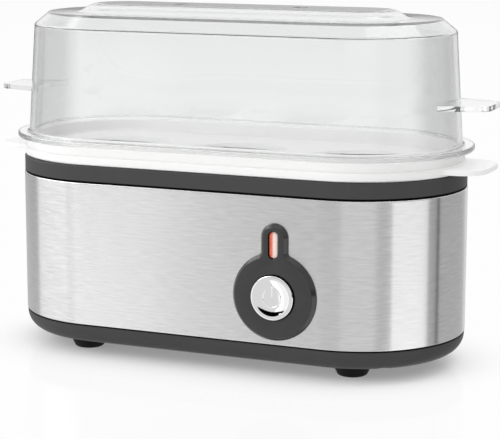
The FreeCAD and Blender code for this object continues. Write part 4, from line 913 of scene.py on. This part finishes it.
def makeButton(values):
    low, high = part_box("power_button")
    x, z = (low.x + high.x) / 2, (low.z + high.z) / 2
    radius = (high.x - low.x) / 2 / mm
    depth = (high.y - low.y) / mm
    depths = bowlDepths(values)
    bore, outside, length = values["socket"]
    face, back = values["face"], values["backRound"]
    bowl = [Vector((r, d)) for r, d in reversed(depths)]
    rest = roundProfile([
        (values["slopes"][-1][0], 0.0), (radius, 0.0, values["edgeRound"]), (radius, depth, back),
        (radius - values["wall"], depth, back), (radius - values["wall"], face, values["faceRound"]),
        (outside, face),
        (outside, face + length), (bore, face + length), (bore, face), (0.0, face),
    ], lead=0.15)
    button = sweep("chromeButton", bowl + rest[1:], 0.0, finishes["button_chrome"], turnSteps=48, leadIn=0)
    faceFront(button, x, low.y, z)
    cleanMesh(button)
    settle(button, "button", "button_chrome", "power_button")

    # generic power mark, raised a little from the bowl
    points, edges = [], []
    turns, rises = values["markSteps"]
    gap = values["markGap"]
    for step in range(turns + 1):
        angle = math.radians(90 + gap + (360 - 2 * gap) * step / turns)
        points.append((values["markRing"] * math.cos(angle), values["markRing"] * math.sin(angle)))
        if step:
            edges.append((step - 1, step))
    barLow, barHigh = values["markBar"]
    for step in range(rises + 1):
        points.append((0.0, barLow + (barHigh - barLow) * step / rises))
        if step:
            edges.append((len(points) - 2, len(points) - 1))
    mesh = bpy.data.meshes.new("powerMark")
    mesh.from_pydata([(x + u * mm, low.y + depthAt(depths, math.hypot(u, v)) * mm, z + v * mm)
                      for u, v in points], edges, [])
    mark = runTree("powerMark", mesh, roundStroke, {
        "Stroke": values["markStroke"] * mm, "Sides": values["sides"],
        "Material": finishes["button_chrome"]})
    cleanMesh(mark, strokeSharp)
    settle(mark, "button", "button_chrome")


makeButton(buttonSet)

# return spring behind the button
springSet = {"wire": 0.45, "turns": 5, "steps": 36, "sides": 10}


def makeSpring(values):
    low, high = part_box("button_spring")
    x, z = (low.x + high.x) / 2, (low.z + high.z) / 2
    wire = values["wire"] * mm
    radius = (high.x - low.x) / 2 - wire
    start, end = low.y + wire, high.y - wire
    count = values["turns"] * values["steps"]
    points = []
    for step in range(count + 1):
        angle = 2 * math.pi * step / values["steps"]
        along = start + (end - start) * step / count
        points.append((x + radius * math.cos(angle), along, z + radius * math.sin(angle)))
    mesh = bpy.data.meshes.new("returnSpring")
    mesh.from_pydata(points, [(n, n + 1) for n in range(count)], [])
    spring = runTree("returnSpring", mesh, roundStroke, {
        "Stroke": wire, "Sides": values["sides"], "Material": finishes["zinc_steel"]})
    cleanMesh(spring, strokeSharp)
    settle(spring, "body", "zinc_steel", "button_spring")
    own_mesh(spring)


makeSpring(springSet)
print("button, its mark and its spring made")


# indicator lens with ribs across it
lensSet = {
    "slot": (1.80, 5.20),  # half width and half height
    "flange": (3.05, 1.2),
    "crown": 0.35,
    "ribs": 10,
    "ribRadius": 0.26,
    "ribSink": 0.08,
    "ribReach": (0.90, 0.94),  # shares of the slot that the ribs take
    "shoulder": (0.92, 1.6),  # where the crown ends, as a share, and how much deeper its edge is
    "crownSteps": 6,
    "rounds": (0.1, 0.15),
}


def ribTree():
    # bars across a slot, each as long as the slot is wide there
    tree, come, give = geometryTree("lensRibs", [
        ("Half Width", "NodeSocketFloat"), ("Half Height", "NodeSocketFloat"), ("Ribs", "NodeSocketInt"),
        ("Rib Radius", "NodeSocketFloat"), ("Rib Place", "NodeSocketVector"),
        ("Material", "NodeSocketMaterial"),
    ])
    pitch = sum2(tree, "DIVIDE", sum2(tree, "MULTIPLY", come["Half Height"], 2.0), come["Ribs"])
    row = addNode(tree, "GeometryNodeMeshLine")
    join(tree, come["Ribs"], row.inputs["Count"])
    index = addNode(tree, "GeometryNodeInputIndex").outputs[0]
    rise = sum2(tree, "MULTIPLY", sum2(tree, "ADD", index, 0.5), pitch)
    rise = sum2(tree, "SUBTRACT", rise, come["Half Height"])
    offset = addNode(tree, "ShaderNodeCombineXYZ")
    join(tree, rise, offset.inputs["Z"])
    place = addNode(tree, "ShaderNodeVectorMath", operation="ADD")
    join(tree, offset.outputs[0], place.inputs[0])
    join(tree, come["Rib Place"], place.inputs[1])
    moved = addNode(tree, "GeometryNodeSetPosition")
    join(tree, row.outputs[0], moved.inputs["Geometry"])
    join(tree, place.outputs[0], moved.inputs["Position"])
    past = sum2(tree, "SUBTRACT", come["Half Height"], come["Half Width"])
    past = sum2(tree, "MAXIMUM", sum2(tree, "SUBTRACT", sum2(tree, "ABSOLUTE", rise), past), 0.0)
    chord = sum2(tree, "POWER", come["Half Width"], 2.0)
    chord = sum2(tree, "SUBTRACT", chord, sum2(tree, "POWER", past, 2.0))
    chord = sum2(tree, "SQRT", sum2(tree, "MAXIMUM", chord, 0.0))
    bar = addNode(tree, "GeometryNodeMeshUVSphere")
    bar.inputs["Segments"].default_value = 16
    bar.inputs["Rings"].default_value = 12
    size = addNode(tree, "ShaderNodeCombineXYZ")
    join(tree, chord, size.inputs["X"])
    join(tree, come["Rib Radius"], size.inputs["Y"])
    join(tree, come["Rib Radius"], size.inputs["Z"])
    spread = addNode(tree, "GeometryNodeInstanceOnPoints")
    join(tree, moved.outputs[0], spread.inputs["Points"])
    join(tree, bar.outputs[0], spread.inputs["Instance"])
    join(tree, size.outputs[0], spread.inputs["Scale"])
    both = addNode(tree, "GeometryNodeJoinGeometry")
    join(tree, come["Geometry"], both.inputs[0])
    join(tree, spread.outputs[0], both.inputs[0])
    closeTree(tree, both.outputs[0], come["Material"], give)
    return tree


def makeLens(values):
    low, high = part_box("indicator_lens")
    x, z = (low.x + high.x) / 2, (low.z + high.z) / 2
    depth = (high.y - low.y) / mm
    half, tall = values["slot"]
    reach, thick = values["flange"]
    crown, steps = values["crown"], values["crownSteps"]
    share, drop = values["shoulder"]
    edgeRound, flangeRound = values["rounds"]
    points = []
    for step in range(steps + 1):
        points.append(Vector((half * share * step / steps, crown * (step / steps) ** 2)))
    points += roundProfile([
        (half * share, crown), (half, crown * drop, edgeRound), (half, depth - thick),
        (reach, depth - thick, flangeRound), (reach, depth, flangeRound), (0.0, depth),
    ], lead=0.05)[1:]
    material = finishes["lens_plastic"]
    blank = sweep("lensBlank", points, (tall - half) * mm, material, turnSteps=20, leadIn=0.1)
    faceFront(blank, x, low.y, z)
    ribWide, ribTall = values["ribReach"]
    lens = runTree("ribbedLens", blank.data, ribTree(), {
        "Half Width": half * ribWide * mm, "Half Height": tall * ribTall * mm, "Ribs": values["ribs"],
        "Rib Radius": values["ribRadius"] * mm, "Rib Place": (x, low.y + values["ribSink"] * mm, z),
        "Material": material})
    bpy.data.objects.remove(blank)
    cleanMesh(lens)
    settle(lens, "body", "lens_plastic", "indicator_lens")


makeLens(lensSet)
print("lens made")


# bezel with its front edges broken, so that they catch the light
bezelEdge = {"width": 0.85, "steps": 6, "depth": 2.15, "sharp": 20.0, "crisp": 30.0,
             "join": 0.005, "flat": 1.0}


def makeBezelPiece(values):
    node = frame["nodes"]["control_bezel"]
    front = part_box("control_bezel")[0].y
    work = bmesh.new()
    work.from_mesh(node.data)
    bmesh.ops.remove_doubles(work, verts=work.verts, dist=values["join"] * mm)
    flat = math.radians(values["flat"])
    bmesh.ops.dissolve_limit(work, angle_limit=flat, verts=work.verts, edges=work.edges)
    sharp = math.radians(values["sharp"])
    edges = []
    for edge in work.edges:
        near = all(vertex.co.y < front + values["depth"] * mm for vertex in edge.verts)
        if near and len(edge.link_faces) == 2 and edge.calc_face_angle() > sharp:
            edges.append(edge)
    bmesh.ops.bevel(work, geom=edges, offset=values["width"] * mm, offset_type="OFFSET", profile=0.5,
                    segments=values["steps"], affect="EDGES", clamp_overlap=True)
    mesh = bpy.data.meshes.new("bezelRing")
    work.to_mesh(mesh)
    work.free()
    mesh.materials.append(finishes["bezel_plastic"])
    piece = bpy.data.objects.new("bezelRing", mesh)
    scene.collection.objects.link(piece)
    cleanMesh(piece, values["crisp"])
    settle(piece, "body", "bezel_plastic", "control_bezel")


makeBezelPiece(bezelEdge)
print("bezel made")
